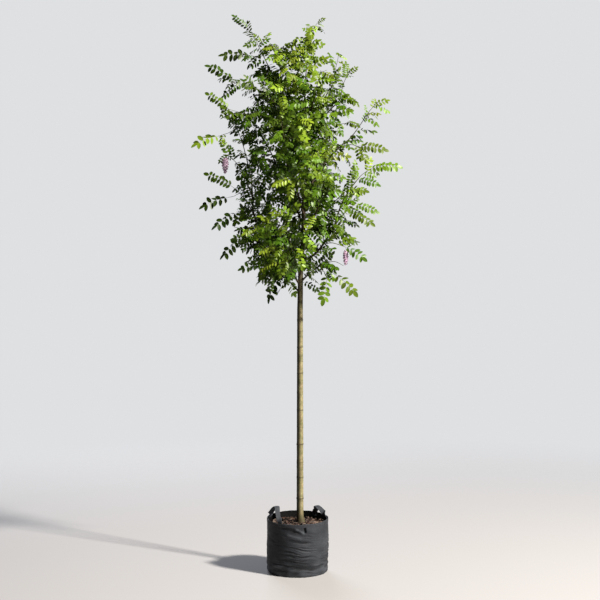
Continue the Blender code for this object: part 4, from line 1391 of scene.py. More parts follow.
    def build_stitching(self) -> None:
        """The hem's two rows, the back seam's row and a crossed box at each end of each strap."""
        pattern = self.stitch_pattern()
        step = self.stitch_step / self.radius
        turns = [k * step for k in range(int(math.tau / step))]
        rows = [self.sew(pattern, turn, self.rim_height(turn) - below, 0.0)
                for below in self.hem_rows for turn in turns]
        for k in range(int((self.height - 0.03) / self.stitch_step)):
            height = 0.012 + k * self.stitch_step
            rows.append(self.sew(pattern, math.radians(self.back_seam), height, math.pi / 2))
        for _, *ends, _, _ in self.handles:
            for turn in ends:
                rows += self.box_stitches(pattern, math.radians(turn))
        add_piece(join(rows, "bag_stitching", [pattern]), "bag_fabric")

    def box_stitches(self, pattern: Piece, turn: float) -> list[Piece]:
        """The crossed box that holds a strap's end, as stitches seen on the outside of the wall.

        Args:
            pattern: The stitch that is copied.
            turn: The turn round the bag at the box's middle.

        Returns:
            The stitches.
        """
        half, low, high = self.box
        corners = [(-half, low), (half, low), (half, high), (-half, high)]
        runs = [*zip(corners, corners[1:] + corners[:1]), (corners[0], corners[2]), (corners[1], corners[3])]
        made = []
        for (x0, y0), (x1, y1) in runs:
            count = max(2, round(math.hypot(x1 - x0, y1 - y0) / self.stitch_step))
            for k in range(count):
                share = (k + 0.5) / count
                here = turn + (x0 + (x1 - x0) * share) / self.radius
                height = self.rim_height(turn) - (y0 + (y1 - y0) * share)
                made.append(self.sew(pattern, here, height, math.atan2(y0 - y1, x1 - x0)))
        return made

    def build(self) -> None:
        """Builds and dresses the whole bag."""
        self.build_wall()
        self.build_base()
        for side, first, second, rise, lean in self.handles:
            self.build_strap(side, self.strap_line(math.radians(first), math.radians(second), rise, lean))
        self.build_stitching()


# What fills the bag


@dataclass
class Mulch:
    """The layer of bark chips on the compost."""

    palette: Palette
    low: float = 0.2924
    top: float = 0.3125
    outer: float = 0.188
    clear_of_stem: float = 0.030
    chips: int = 760
    chip_kinds: int = 6
    # The least, greatest and usual half length of a chip, and the least and greatest of a big one.
    half_lengths: tuple = (0.0035, 0.0125, 0.0065)
    big_half_lengths: tuple = (0.011, 0.018)
    # How many big chips lie in a group on the right, the middle of the group and how far it spreads.
    big_chips: int = 14
    big_chips_at: tuple = (0.124, -0.020, 0.030)
    big_chips_within: float = 0.165
    chance: random.Random = own_chance(1)

    def chip_pattern(self, number: int) -> Piece:
        """One kind of bark chip: a torn, layered plate with broken corners.

        Args:
            number: Which kind it is.

        Returns:
            The chip, with a half length of 1.
        """
        deselect()
        bpy.ops.mesh.primitive_ico_sphere_add(subdivisions=2, radius=1.0)
        chip = take_new(f"chip_{number}")
        offset = Vector((number * 7.3, 0.0, 0.0))
        for vert in chip.data.vertices:
            rough = 1.0 + 0.35 * noise.noise(vert.co * 1.7 + offset)
            boxed = Vector([math.copysign(abs(c) ** 0.55, c) for c in vert.co])
            vert.co = Vector((boxed.x * rough, boxed.y * 0.52 * rough, boxed.z * 0.24 * rough))
            vert.co.z += 0.12 * math.sin(vert.co.x * 2.2 + number)
            vert.co.x += 0.25 * noise.noise(vert.co * 3.0 + offset)
        smooth(28)
        return chip

    def chip_place(self, big: bool) -> tuple[Vector, float]:
        """Where a chip lies, by chance.

        Args:
            big: Whether it is one of the big chips.

        Returns:
            Its place on the level, and its half length.
        """
        far = self.outer * math.sqrt(self.chance.uniform(0.0, 0.90))
        spot = ring_point(far, self.chance.uniform(0.0, math.tau))
        half = self.chance.triangular(*self.half_lengths)
        if big:
            across, along, spread = self.big_chips_at
            spot = Vector((self.chance.gauss(across, spread), self.chance.gauss(along, spread), 0.0))
            spot = spot * min(1.0, self.big_chips_within / spot.length)
            far = spot.length
            half = self.chance.uniform(*self.big_half_lengths)
        return spot, min(half, (self.outer - far) * 1.3 + 0.005)

    def build_chips(self) -> None:
        """All the chips, each one a copy turned, tilted and sized by chance."""
        kinds = [self.chip_pattern(k) for k in range(self.chip_kinds)]
        placed = []
        for index in range(self.chips + self.big_chips):
            spot, half = self.chip_place(index >= self.chips)
            if (spot - Vector((STEM_X, 0.0, 0.0))).length < self.clear_of_stem:
                continue
            tilt = Matrix.Rotation(self.chance.gauss(0.0, 0.32), 4, "X")
            tilt = tilt @ Matrix.Rotation(self.chance.gauss(0.0, 0.28), 4, "Y")
            spin = Matrix.Rotation(self.chance.uniform(0.0, math.tau), 4, "Z")
            spot.z = self.top + self.chance.uniform(-0.003, 0.009)
            matrix = Matrix.Translation(spot) @ spin @ tilt @ Matrix.Scale(half, 4)
            chip = copy_of(kinds[index % self.chip_kinds], matrix, "chip_copy")
            set_faces(chip, "tone", self.chance.uniform(0.0, 1.0) ** 1.5)
            placed.append(chip)
        piece = join(placed, "bark_chips", kinds)
        add_piece(dress(piece, self.palette.chips), "bark_mulch", "bark_mulch")

    def build_bed(self) -> None:
        """The fine bark between the chips: an uneven sheet with the stem standing through it."""
        bed = ringed_disc("fine_bark", 64, self.outer, 11, 0.014)
        for vert in bed.data.vertices:
            vert.co.z = self.top - 0.004 + 0.005 * noise.noise(Vector((vert.co.x, vert.co.y, 0.0)) * 60.0)
        apply_modifier(bed, "SOLIDIFY", thickness=self.top - self.low - 0.010, offset=-1.0)
        smooth(60)
        add_piece(dress(bed, self.palette.compost), "bark_mulch")

    def build(self) -> None:
        """Builds the mulch, and gives the compost under it its finish."""
        self.build_bed()
        self.build_chips()
        dress(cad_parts["potting_soil"], self.palette.compost)


# The wood


@dataclass(frozen=True)
class Shoot:
    """One leafy shoot: its name, its stick and the leaves with settled places."""

    name: str
    stick: Stick
    posed: tuple


@dataclass
class Wood:
    """The trunk, the branches with their spurs, and the lines of the leafy shoots."""

    palette: Palette
    branch_taper: float = 0.55
    shoot_tip_radius: float = 0.0012
    side_shoot_share: float = 0.5
    collar: float = 0.55
    collar_length: float = 0.016
    trunk_sides: int = 28
    ring_step: float = 0.018
    spur_step: float = 0.029
    # The root flare: the height of its middle, how far it spreads up and down, and its greatest width on
    # the side where a root shoulder stands out.
    flare_at: float = 0.300
    flare_spread: float = 0.034
    shoulder: float = 0.013
    shoulder_at: float = -20.0
    chance: random.Random = own_chance(2)
    # The height of each ring scar on the stem, how far it stands out, and how dark it is.
    ring_scars: tuple = (
        (1.4545, 0.0010, 0.9), (1.3635, 0.0008, 0.7), (1.2855, 0.0008, 0.7), (1.045, 0.0009, 0.8),
        (0.824, 0.0026, 1.0), (0.705, 0.0007, 0.4), (0.6095, 0.0012, 0.8), (0.473, 0.0018, 1.0),
        (1.560, 0.0010, 0.5), (1.630, 0.0014, 0.6), (1.162, 0.0006, 0.35), (0.935, 0.0006, 0.35),
    )

    def trunk_at(self, height: float) -> tuple[Vector, float]:
        """The centre and radius of the trunk at a height."""
        z, x, y, radius = between(tuple((z, x, y, r) for x, y, z, r in TRUNK_LINE), height)
        return Vector((x, y, z)), radius

    def ring_heights(self) -> list[float]:
        """Sets out the trunk's rings of points: even, and close together at each scar.

        Returns:
            The rings' heights, lowest first.
        """
        foot, top = TRUNK_LINE[0][2], TRUNK_LINE[-1][2]
        count = int((top - foot) / self.ring_step)
        heights = [foot + (top - foot) * k / count for k in range(count + 1)]
        for scar, _, _ in self.ring_scars:
            heights = [h for h in heights if abs(h - scar) > 0.011]
            heights += [scar + step for step in (-0.010, -0.005, -0.002, 0.0, 0.002, 0.005, 0.010)]
        return sorted(heights)

    def scar_at(self, turn: float, height: float) -> tuple[float, float]:
        """What the ring scars do to the bark at a place.

        Args:
            turn: The turn round the trunk.
            height: The height.

        Returns:
            How far they lift it, and how dark they make it.
        """
        lift = dark = 0.0
        for scar, rise, shade in self.ring_scars:
            wavy = scar + 0.0016 * math.sin(turn + scar * 40.0)
            lift += rise * bell(height - wavy, 0.0055)
            dark = max(dark, shade * bell(height - wavy, 0.0026))
        return lift, dark

    def build_trunk(self) -> None:
        """The stem, with ring scars, a swollen foot and a root shoulder on its right."""
        heights = self.ring_heights()
        trunk = open_tube("trunk_stem", self.trunk_sides, len(heights) - 1, True)
        darkness = []
        for vert in trunk.data.vertices:
            turn = math.atan2(vert.co.y, vert.co.x)
            height = heights[round((vert.co.z + 0.5) * (len(heights) - 1))]
            centre, radius = self.trunk_at(height)
            lift, dark = self.scar_at(turn, height)
            shoulder = max(0.0, math.cos(turn - math.radians(self.shoulder_at))) ** 3
            foot = bell(height - self.flare_at, self.flare_spread)
            rough = 0.0005 * noise.noise(ring_point(1.0, turn, height * 18.0))
            out = radius + lift + rough + foot * (0.002 + self.shoulder * shoulder)
            darkness.append(max(dark, 0.55 * bell(height - self.flare_at, 0.03) * (1 - shoulder)))
            vert.co = centre + ring_point(1.0, turn) * out
        set_points(trunk, "scar", darkness)
        make_active(trunk)
        smooth(60)
        add_piece(dress(trunk, self.palette.stem), "trunk_bark", "trunk")

    def branch_sticks(self) -> dict[str, Stick]:
        """Sets out the branches, each sunk a little into the trunk, with a collar at the fork.

        Returns:
            Each branch's stick by name.
        """
        found = {}
        for name, radius, height, points in BRANCHES:
            root, trunk_radius = self.trunk_at(height)
            line = smooth_line([root, *points], 8)
            away = (line[1] - line[0]).normalized()
            out = math.sqrt(max(1.0 - abs(away.z) * abs(away.z), 0.04))
            start = root + away * ((trunk_radius * 0.6) / out)
            cleared = (start - root).length + 0.006
            line = [start, *[p for p in line if (p - root).length > cleared]]
            run = lengths_along(line)
            radii = []
            for distance in run:
                taper = 1.0 - (1.0 - self.branch_taper) * distance / run[-1]
                radii.append(radius * (taper + self.collar * math.exp(-distance / self.collar_length)))
            found[name] = Stick(line, radii)
        return found

    def shoots(self, branches: dict[str, Stick]) -> list[Shoot]:
        """Sets out every leafy shoot, growing from the branches' ends and sides.

        Args:
            branches: The branches' sticks by name.

        Returns:
            The shoots in growing order.
        """
        found = []
        for parent, points, posed in END_SHOOTS:
            if parent == "leader":
                *end, end_radius = TRUNK_LINE[-1]
            else:
                end, end_radius = branches[parent].line[-1], branches[parent].radii[-1]
            found.append(Shoot(parent, self.tapered([end, *points], end_radius), posed))
        for parent, letter, share, points, posed in SIDE_SHOOTS:
            wood = branches[parent]
            place = point_at(wood.line, share * lengths_along(wood.line)[-1])[0]
            radius = wood.radii[-1] / self.branch_taper * self.side_shoot_share
            found.append(Shoot(f"{parent}_{letter}", self.tapered([place, *points], radius), posed))
        return found

    def tapered(self, points: list, radius: float) -> Stick:
        """A shoot's stick.

        Args:
            points: The points that the shoot passes through.
            radius: Its radius at its foot.

        Returns:
            The stick, which tapers to a shoot's tip.
        """
        line = smooth_line(points, 6)
        run = lengths_along(line)
        return Stick(line, [radius + (self.shoot_tip_radius - radius) * d / run[-1] for d in run])

    def spurs_on(self, wood: Stick, first: float, last: float) -> list[Stick]:
        """Short stubby side growths along a stretch of a branch or the trunk.

        Args:
            wood: The branch or the trunk.
            first: Where the stretch starts, in metres along its line.
            last: Where it ends.

        Returns:
            The spurs' sticks.
        """
        made = []
        count = max(1, int((last - first) / self.spur_step))
        for index in range(count):
            distance = first + (last - first) * (index + self.chance.uniform(0.2, 0.8)) / count
            place, along = point_at(wood.line, distance)
            thinning = (wood.radii[-1] - wood.radii[0]) * distance
            radius = wood.radii[0] + thinning / lengths_along(wood.line)[-1]
            level, above = cross_axes(along)
            turn = index * SPIRAL + self.chance.uniform(-0.4, 0.4)
            outward = level * math.cos(turn) + above * math.sin(turn)
            lean = (outward + along * 0.5 + UP * 0.25).normalized()
            tip = place + outward * radius * 0.6 + lean * self.chance.uniform(0.012, 0.030)
            start = place + outward * radius * 0.3
            made.append(Stick([start, start.lerp(tip, 0.5), tip], [radius * 0.42 + 0.0004, 0.0018, 0.0015]))
        return made


# The leaves


@dataclass(frozen=True)
class LeafShape:
    """How one kind of pinnate leaf is built, at a length of 1 from the foot of its stalk to its tip."""

    pairs: int
    arch: float
    bare: float
    leaflet: float
    width: float
    fold: float
    hang: float
    sweep: float
    loose: float


class LeafForm(Enum):
    """The kinds of leaf in the crown."""

    LONG = LeafShape(8, 0.120, 0.12, 0.210, 0.53, 0.08, 0.26, 0.36, 0.16)
    LEVEL = LeafShape(7, 0.085, 0.13, 0.212, 0.54, 0.08, 0.16, 0.40, 0.26)
    ARCHED = LeafShape(7, 0.150, 0.13, 0.212, 0.54, 0.12, 0.36, 0.40, 0.32)
    HANGING = LeafShape(6, 0.060, 0.14, 0.228, 0.52, 0.10, 0.50, 0.52, 0.32)
    SHORT = LeafShape(5, 0.100, 0.13, 0.260, 0.55, 0.10, 0.24, 0.45, 0.38)
    BROAD = LeafShape(4, 0.090, 0.12, 0.325, 0.52, 0.08, 0.20, 0.38, 0.26)
    YOUNG = LeafShape(6, 0.120, 0.12, 0.228, 0.54, 0.22, 0.05, 0.60, 0.32)


GROWN_FORMS = (LeafForm.LEVEL, LeafForm.ARCHED, LeafForm.HANGING, LeafForm.SHORT, LeafForm.SHORT)
YOUNG_FORMS = (LeafForm.YOUNG, LeafForm.SHORT, LeafForm.YOUNG)
LONG_FORMS = (LeafForm.LONG, LeafForm.LONG, LeafForm.LEVEL)
SMALL_FORMS = (LeafForm.BROAD, LeafForm.SHORT)


@dataclass(frozen=True)
class LeafPlan:
    """Where one leaf grows, which way its upper face looks, and how old it is."""

    base: Vector
    tip: Vector
    facing: Vector
    age: float
    tint: float
    form: LeafForm


Patterns = dict[LeafForm, list[Piece]]
Leaves = list[LeafPlan]


@dataclass
class LeafPatterns:
    """The leaves that are modelled once, for the crown to copy."""

    palette: Palette
    thickness: float = 0.008
    # Along a leaflet: the rings of its points, and its width there as a share of the greatest.
    stations: tuple = (0.0, 0.10, 0.34, 0.66, 0.90, 1.0)
    widths: tuple = (0.0, 0.56, 1.0, 0.93, 0.46, 0.0)
    droop: float = 0.10
    stalk_radius: float = 0.0046
    stalk_points: int = 9
    versions: int = 2
    chance: random.Random = own_chance(3)

    def leaflet(self, width: float, fold: float) -> Piece:
        """One leaflet of length 1 along +X: a thin closed blade, folded along its midrib.

        Args:
            width: Its greatest width.
            fold: How far its edges rise, as a share of the half width.

        Returns:
            The leaflet.
        """
        rings = len(self.stations) - 1
        flat = []

        def place(x: float, y: float, z: float) -> tuple:
            """The blade's point for a point of the sphere, whose place on the flat it notes."""
            station = round(math.acos(held(z, -1.0)) / math.pi * rings)
            share = self.stations[station]
            wide = -math.copysign(1.0, x) if abs(x) > abs(y) else 0.0
            tall = math.copysign(1.0, y) if abs(y) > abs(x) else 0.0
            half = self.widths[station] * width / 2
            flat.append((share, 0.5 + wide * self.widths[station] / 2))
            rise = abs(wide) * half * fold * 2 + tall * self.thickness / 2 - self.droop * share**2
            return share, wide * half, rise

        made = shaped_sphere("leaflet", 4, rings, place)
        lay_pattern(made, flat)
        made.data.update()
        set_faces(made, "underside", [float(face.normal.z < 0) for face in made.data.polygons])
        smooth(70)
        return dress(made, self.palette.leaf)

    def rachis(self, shape: LeafShape) -> Line:
        """The line of a leaf's stalk: it rises from its foot, arches and comes down towards the tip.

        Args:
            shape: The leaf's shape.

        Returns:
            The line.
        """
        end = 1.0 - shape.leaflet * 0.85
        steps = [end * k / (self.stalk_points - 1) for k in range(self.stalk_points)]
        return [Vector((x, 0.0, shape.arch * 4 * x * (1 - x) * (1.25 - 0.5 * x))) for x in steps]

    def leaf(self, form: LeafForm, number: int) -> Piece:
        """One whole leaf: the arched stalk, opposite pairs of leaflets and one at the end.

        Args:
            form: The kind of leaf.
            number: Which version of that kind this is.

        Returns:
            The leaf, with its foot at the origin and its tip near (1, 0, 0).
        """
        shape = form.value
        blade = self.leaflet(shape.width, shape.fold)
        line = self.rachis(shape)
        radii = [self.stalk_radius * (1.0 - 0.5 * k / (len(line) - 1)) for k in range(len(line))]
        parts = [sticks_mesh("stalk", [Stick(line, radii)], 0, self.palette.stalk)]
        total = lengths_along(line)[-1]
        for pair in range(shape.pairs):
            share = pair / (shape.pairs - 1)
            distance = total * (shape.bare + (0.95 - shape.bare) * share)
            size = shape.leaflet * (0.80 + 0.55 * share - 0.45 * share**2)
            for side in (-1, 1):
                stem = point_at(line, distance + self.chance.uniform(-0.008, 0.008))
                parts.append(self.set_leaflet(blade, stem, side, size, shape))
        parts.append(self.set_leaflet(blade, point_at(line, total), 0, shape.leaflet * 1.02, shape))
        return join(parts, f"leaf_{form.name.lower()}_{number}", [blade])

    def set_leaflet(
        self, blade: Piece, stem: tuple[Vector, Vector], side: int, size: float, shape: LeafShape
    ) -> Piece:
        """A copy of the leaflet at its place on the stalk.

        Args:
            blade: The leaflet that is copied.
            stem: Where it joins the stalk, and the stalk's direction there.
            side: -1 or 1 for a side leaflet, 0 for the one at the end.
            size: Its length.
            shape: The leaf's shape.

        Returns:
            The copy.
        """
        place, ahead = stem
        above = Vector((-ahead.z, 0.0, ahead.x))
        sweep = shape.sweep + self.chance.uniform(-0.6, 0.6) * shape.loose
        hang = shape.hang + self.chance.uniform(-1.0, 1.0) * shape.loose
        if side == 0:
            flat = ahead + Vector((0.0, self.chance.uniform(-0.12, 0.12), 0.0))
            hang *= 0.6
        else:
            flat = Vector((0.0, side, 0.0)) * math.cos(sweep) + ahead * math.sin(sweep)
        flat = flat.normalized()
        along = flat * math.cos(hang) - above * math.sin(hang)
        upper = above * math.cos(hang) + flat * math.sin(hang)
        twist = Matrix.Rotation(self.chance.uniform(-1.3, 1.3) * shape.loose, 3, along)
        return copy_of(blade, seat(place, along, twist @ upper, size), "leaflet_copy")

    def build(self) -> Patterns:
        """Models every kind of leaf."""
        return {form: [self.leaf(form, k) for k in range(self.versions)] for form in LeafForm}


@dataclass
class Crown:
    """All the leaves: on the leafy shoots, on the spurs of branches and trunk, and in tufts on twigs."""

    palette: Palette
    wood: Wood
    leaf_length: float = 0.156
    longest_leaf: float = 0.215
    small_leaf: float = 0.122
    leaf_step: float = 0.020
    spur_leaves: tuple = (2, 3, 3)
    spurs_from: float = 1.62
    box_margin: float = 0.012
    outline_slack: float = 0.012
    # The crown from the side is an ellipse: its middle height, half height and half depth, and some room.
    side_view: tuple = (2.55, 1.02, 0.46, 0.04)
    # Openings in the crown's front, as the middle and half width across, the lowest and highest point, the
    # least distance in front of the stem, and the share of the leaves that are missing.
    openings: tuple = ((0.032, 0.040, 2.08, 2.46, 0.0, 0.8), (0.310, 0.065, 1.93, 2.11, 0.08, 1.0))
    tries: int = 14
    tuft_leaves: int = 5
    chance: random.Random = own_chance(4)

    def inside(self, point: Vector) -> bool:
        """Finds whether a point lies in the crown's bulk, as the front view shows it.

        Args:
            point: The point.

        Returns:
            Whether it does.
        """
        scale = -CAMERA_PLACE.y / (point.y - CAMERA_PLACE.y)
        x = CAMERA_PLACE.x + (point.x - CAMERA_PLACE.x) * scale
        z = CAMERA_PLACE.z + (point.z - CAMERA_PLACE.z) * scale
        _, left, right = between(CROWN_OUTLINE, z)
        if not CROWN_OUTLINE[0][0] < z < CROWN_OUTLINE[-1][0] + 0.02:
            return False
        middle, tall, deep, room = self.side_view
        deep = deep * math.sqrt(max(0.0, 1.0 - ((z - middle) / tall) ** 2)) + room
        return left - self.outline_slack < x < right + self.outline_slack and abs(point.y) < deep

    def age_and_painted_light_at(self, place: Vector, share: float) -> float:
        """How old a leaf is, from 0 to 1: young at the shoots' tips and at the top, with painted light across
        the crown.

        Args:
            place: Where the leaf is.
            share: How far along its shoot it grows, from 0 to 1.

        Returns:
            The leaf's age.
        """
        height = (place.z - 1.75) / 1.85
        # The last term is painted light and shade: leaves are younger, so paler, to the right and older, so
        # darker, to the left.
        age = 0.92 - 0.30 * share**2 - 0.26 * height - 0.36 * (place.x + 0.10)
        return held(age + self.chance.gauss(0.0, 0.13))

    def plan(self, base: Vector, tip: Vector, age: float, tilts: tuple = (0.55, 1.30)) -> LeafPlan:
        """A leaf's plan, with a facing, a tint and a form of its own.

        Its upper face looks up and out, and on the front of the crown it turns towards the light there.

        Args:
            base: Where the leaf's stalk starts.
            tip: Where its tip reaches.
            age: Its age.
            tilts: The least and the greatest angle between its upper face's direction and straight up.

        Returns:
            The plan.
        """
        tilt = self.chance.uniform(*tilts)
        jitter = Vector([self.chance.uniform(-0.28, 0.28) for _ in range(3)])
        to_front = held(0.75 - 2.4 * tip.y, 0.0, 0.9)
        level = self.outward(tip) * (1.05 - 0.7 * to_front) + FRONT * to_front
        facing = UP * math.cos(tilt) + level * math.sin(tilt) + jitter
        length = (tip - base).length
        if length > 0.95 * self.longest_leaf:
            forms = LONG_FORMS
        elif length < self.small_leaf:
            forms = SMALL_FORMS
        else:
            forms = YOUNG_FORMS if age < 0.25 else GROWN_FORMS
        return LeafPlan(base, tip, facing, age, self.chance.random(), self.chance.choice(forms))

    def outward(self, place: Vector) -> Vector:
        """The level direction from the trunk to a place.

        Args:
            place: The place.

        Returns:
            The direction, which is straight forward on the trunk's own line.
        """
        level = place - self.wood.trunk_at(place.z)[0]
        level.z = 0.0
        return level.normalized() if level.length > 0.01 else FRONT.copy()

    def in_box(self, point: Vector) -> bool:
        """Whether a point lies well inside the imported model's box."""
        low, high = CAD_BOX
        return all(a + self.box_margin < c < b - self.box_margin for a, c, b in zip(low, point, high))

    def stays(self, place: Vector) -> bool:
        """Settles whether a leaf grows here: the crown is thin at its edges, and has some openings.

        Args:
            place: Where the leaf would be.

        Returns:
            Whether it grows.
        """
        low = (2.42 - place.z) * (1.2 if place.x > 0.05 else 0.35)
        edges = ((place.x - 0.08) * 2.9, (-0.15 - place.x) * 2.0, (place.z - 3.10) * 0.9, low)
        bare = held(max(edges), 0.04, 0.66)
        for middle, half, bottom, top, in_front, missing in self.openings:
            if place.y < -in_front and abs(place.x - middle) < half and bottom < place.z < top:
                bare = missing
        return self.chance.random() > bare

    def try_leaf(
        self, base: Vector, along: Vector, turn: float, length: float, age: float
    ) -> LeafPlan | None:
        """A leaf that leaves its stem at about this turn and stays in the crown's bulk, or nothing.

        On a shoot that stands out of the bulk leaves are fewer and shorter, and may reach any way.

        Args:
            base: Where the leaf's stalk starts.
            along: The stem's direction.
            turn: The turn round the stem at which the leaf leaves it.
            length: The leaf's length.
            age: The leaf's age.

        Returns:
            The leaf's plan, or None if no try stayed inside or none grows there.
        """
        level, above = cross_axes(along)
        standing_out = not self.inside(base)
        if standing_out:
            length = min(length, self.chance.uniform(0.075, 0.120))
            if self.chance.random() < 0.18 + 0.30 * (base.z > 3.20 and base.x < 0.0):
                return None
        for attempt in range(self.tries):
            way = turn + attempt * 0.9 * self.chance.uniform(-1.0, 1.0)
            side = level * math.cos(way) + above * math.sin(way)
            spread = self.chance.uniform(0.75, 1.2)
            direction = along * math.cos(spread) + side * math.sin(spread) + self.outward(base) * 0.35
            direction = direction.normalized() - UP * self.chance.uniform(0.10, 0.65)
            direction.y *= 0.65 if direction.y < 0.0 else 1.0
            reach = length * (1.0 - 0.03 * attempt)
            tip = base + direction.normalized() * reach
            if standing_out and self.in_box(tip):
                return self.plan(base, tip, age, (0.8, 1.35))
            if self.inside(tip):
                return self.plan(base, tip, age) if self.stays(base.lerp(tip, 0.6)) else None
        return None

    def posed_leaves(self, shoot: Shoot) -> tuple[Leaves, list[Stick]]:
        """A shoot's leaves with settled places; one that reaches far stands on a side twig with small leaves.

        Args:
            shoot: The shoot.

        Returns:
            The leaves' plans, and the side twigs.
        """
        line = shoot.stick.line
        total = lengths_along(line)[-1]
        plans, twigs = [], []
        for share, place, *settled_age in shoot.posed:
            base = point_at(line, min(share * total, total - 0.003))[0]
            tip = Vector(place)
            age = settled_age[0] if settled_age else self.age_and_painted_light_at(tip, share * 0.8)
            reach = (tip - base).length
            if reach > self.longest_leaf:
                fork = tip.lerp(base, 0.92 * self.longest_leaf / reach)
                along = (fork - base).normalized()
                twigs.append(Stick([base, base.lerp(fork, 0.5) - UP * 0.006, fork], [0.0020, 0.0016, 0.0012]))
                for k, part in enumerate((0.35, 0.7, 1.0)):
                    plans.append(self.try_leaf(base.lerp(fork, part), along, 0.4 + math.pi * k, 0.13, age))
                base = fork
            plans.append(self.plan(base, tip, age, (1.0, 1.35)))
        return plans, twigs

    def shoot_leaves(self, shoot: Shoot) -> tuple[Leaves, list[Stick]]:
        """The leaves of one leafy shoot: those with settled places, and the rest in a spiral between them.

        Args:
            shoot: The shoot.

        Returns:
            The leaves' plans, and the shoot's side twigs.
        """
        line = shoot.stick.line
        total = lengths_along(line)[-1]
        plans, twigs = self.posed_leaves(shoot)
        count = max(3, int(total / self.leaf_step))
        for index in range(count):
            distance = total * (index + 0.6) / count
            base, along = point_at(line, distance)
            young = 1.0 - 0.35 * (distance / total) ** 2
            length = self.leaf_length * young * self.chance.uniform(0.82, 1.16)
            turn = index * SPIRAL + self.chance.uniform(-0.3, 0.3)
            plans.append(self.try_leaf(base, along, turn, length, self.age_and_painted_light_at(base, distance / total)))
        return [p for p in plans if p], twigs

    def spur_tufts(self, spurs: list[Stick]) -> Leaves:
        """The leaves at the tips of some spurs.

        Args:
            spurs: The spurs' sticks.

        Returns:
            The leaves' plans.
        """
        plans = []
        for spur in spurs:
            tip = spur.line[-1]
            along = (tip - spur.line[0]).normalized()
            count = self.chance.choice(self.spur_leaves)
            first = self.chance.uniform(0.0, math.tau)
            for k in range(count):
                length = self.leaf_length * self.chance.uniform(0.70, 1.15)
                turn = first + k * math.tau / count
                plans.append(self.try_leaf(tip, along, turn, length, self.age_and_painted_light_at(tip, 0.25)))
        return [p for p in plans if p]

    def build_foliage(
        self, name: str, plans: Leaves, sticks: list[Stick], sides: int, patterns: Patterns, *stands_for: str
    ) -> None:
        """Copies the leaves of one piece to their places and joins them with their green stems.

        Args:
            name: The piece's name.
            plans: Its leaves.
            sticks: The stems that belong to the piece, if any do.
            sides: The stems' bevel resolution.
            patterns: The modelled leaves by kind.
            stands_for: The plain solids that the piece replaces.
        """
        parts = [sticks_mesh("green_stems", sticks, sides, self.palette.stalk)] if sticks else []
        for plan in plans:
            leaf = copy_of(self.chance.choice(patterns[plan.form]), self.leaf_matrix(plan), "leaf_copy")
            set_faces(leaf, "age", plan.age)
            set_faces(leaf, "tint", plan.tint)
            parts.append(leaf)
        piece = join(parts, name)
        self.keep_in_box(piece.data.vertices)
        add_piece(piece, "leaf_green", *stands_for)

    def leaf_matrix(self, plan: LeafPlan) -> Matrix:
        """Finds how to turn and size a leaf of length 1 to lie from its base to its tip, facing its way.

        Args:
            plan: The leaf's plan.

        Returns:
            The matrix for that.
        """
        reach = plan.tip - plan.base
        along = reach.normalized()
        upper = plan.facing - along * plan.facing.dot(along)
        upper = upper.normalized() if upper.length > 0.05 else cross_axes(along)[1]
        return seat(plan.base, along, upper, reach.length)

    def keep_in_box(self, verts: bpy.types.MeshVertices) -> None:
        """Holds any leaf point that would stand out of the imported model's box at its side.

        Args:
            verts: The points of a piece.
        """
        low, high = (np.array(corner) for corner in CAD_BOX)
        points = np.empty(len(verts) * 3, np.float32)
        verts.foreach_get("co", points)
        verts.foreach_set("co", np.clip(points.reshape(-1, 3), low, high).astype(np.float32).ravel())

    def build_tufts(
        self, name: str, lines: list[Line], places: tuple, youngest: float, patterns: Patterns
    ) -> None:
        """Builds some tufts as one piece: a thin twig from the nearest wood to each place, and its leaves.

        Args:
            name: The piece's name.
            lines: The lines of all the wood that a twig may grow from.
            places: Where the tufts are.
            youngest: The age of the leaf at each twig's tip.
            patterns: The modelled leaves by kind.
        """
        twigs, plans = [], []
        for place in places:
            goal = Vector(place)
            root = min((p for line in lines for p in line[2:]), key=lambda p: (p - goal).length)
            middle = root.lerp(goal, 0.5) - UP * 0.15 * (goal - root).length
            line = smooth_line([root, middle, goal], 5)
            along = (line[-1] - line[-2]).normalized()
            twigs.append(Stick(line, [0.0020 - 0.0009 * k / (len(line) - 1) for k in range(len(line))]))
            for k in range(self.tuft_leaves):
                base = point_at(line, (1.0 - 0.13 * k) * lengths_along(line)[-1])[0]
                length = self.leaf_length * self.chance.uniform(0.66, 0.98)
                age = held(youngest + 0.08 * k + self.chance.gauss(0.0, 0.07))
                plans.append(self.try_leaf(base, along, k * SPIRAL, length, age))
        self.build_foliage(name, [p for p in plans if p], twigs, 0, patterns)

    def build_spurs(self, name: str, wood: list[Stick], spurs: list[Stick], patterns: Patterns) -> None:
        """Builds a branch with its spurs, or the trunk's spurs alone, and the leaves on them.

        Args:
            name: The branch's name, or that of the trunk.
            wood: The branch's stick, or nothing for the trunk.
            spurs: The spurs' sticks.
            patterns: The modelled leaves by kind.
        """
        if wood:
            piece = sticks_mesh(f"wood_{name}", [*wood, *spurs], 2, self.palette.twig)
            add_piece(piece, "branch_bark", f"branch_{name}")
        else:
            add_piece(sticks_mesh(f"{name}_spurs", spurs, 1, self.palette.twig), "branch_bark")
        self.build_foliage(f"spur_leaves_{name}", self.spur_tufts(spurs), [], 0, patterns)

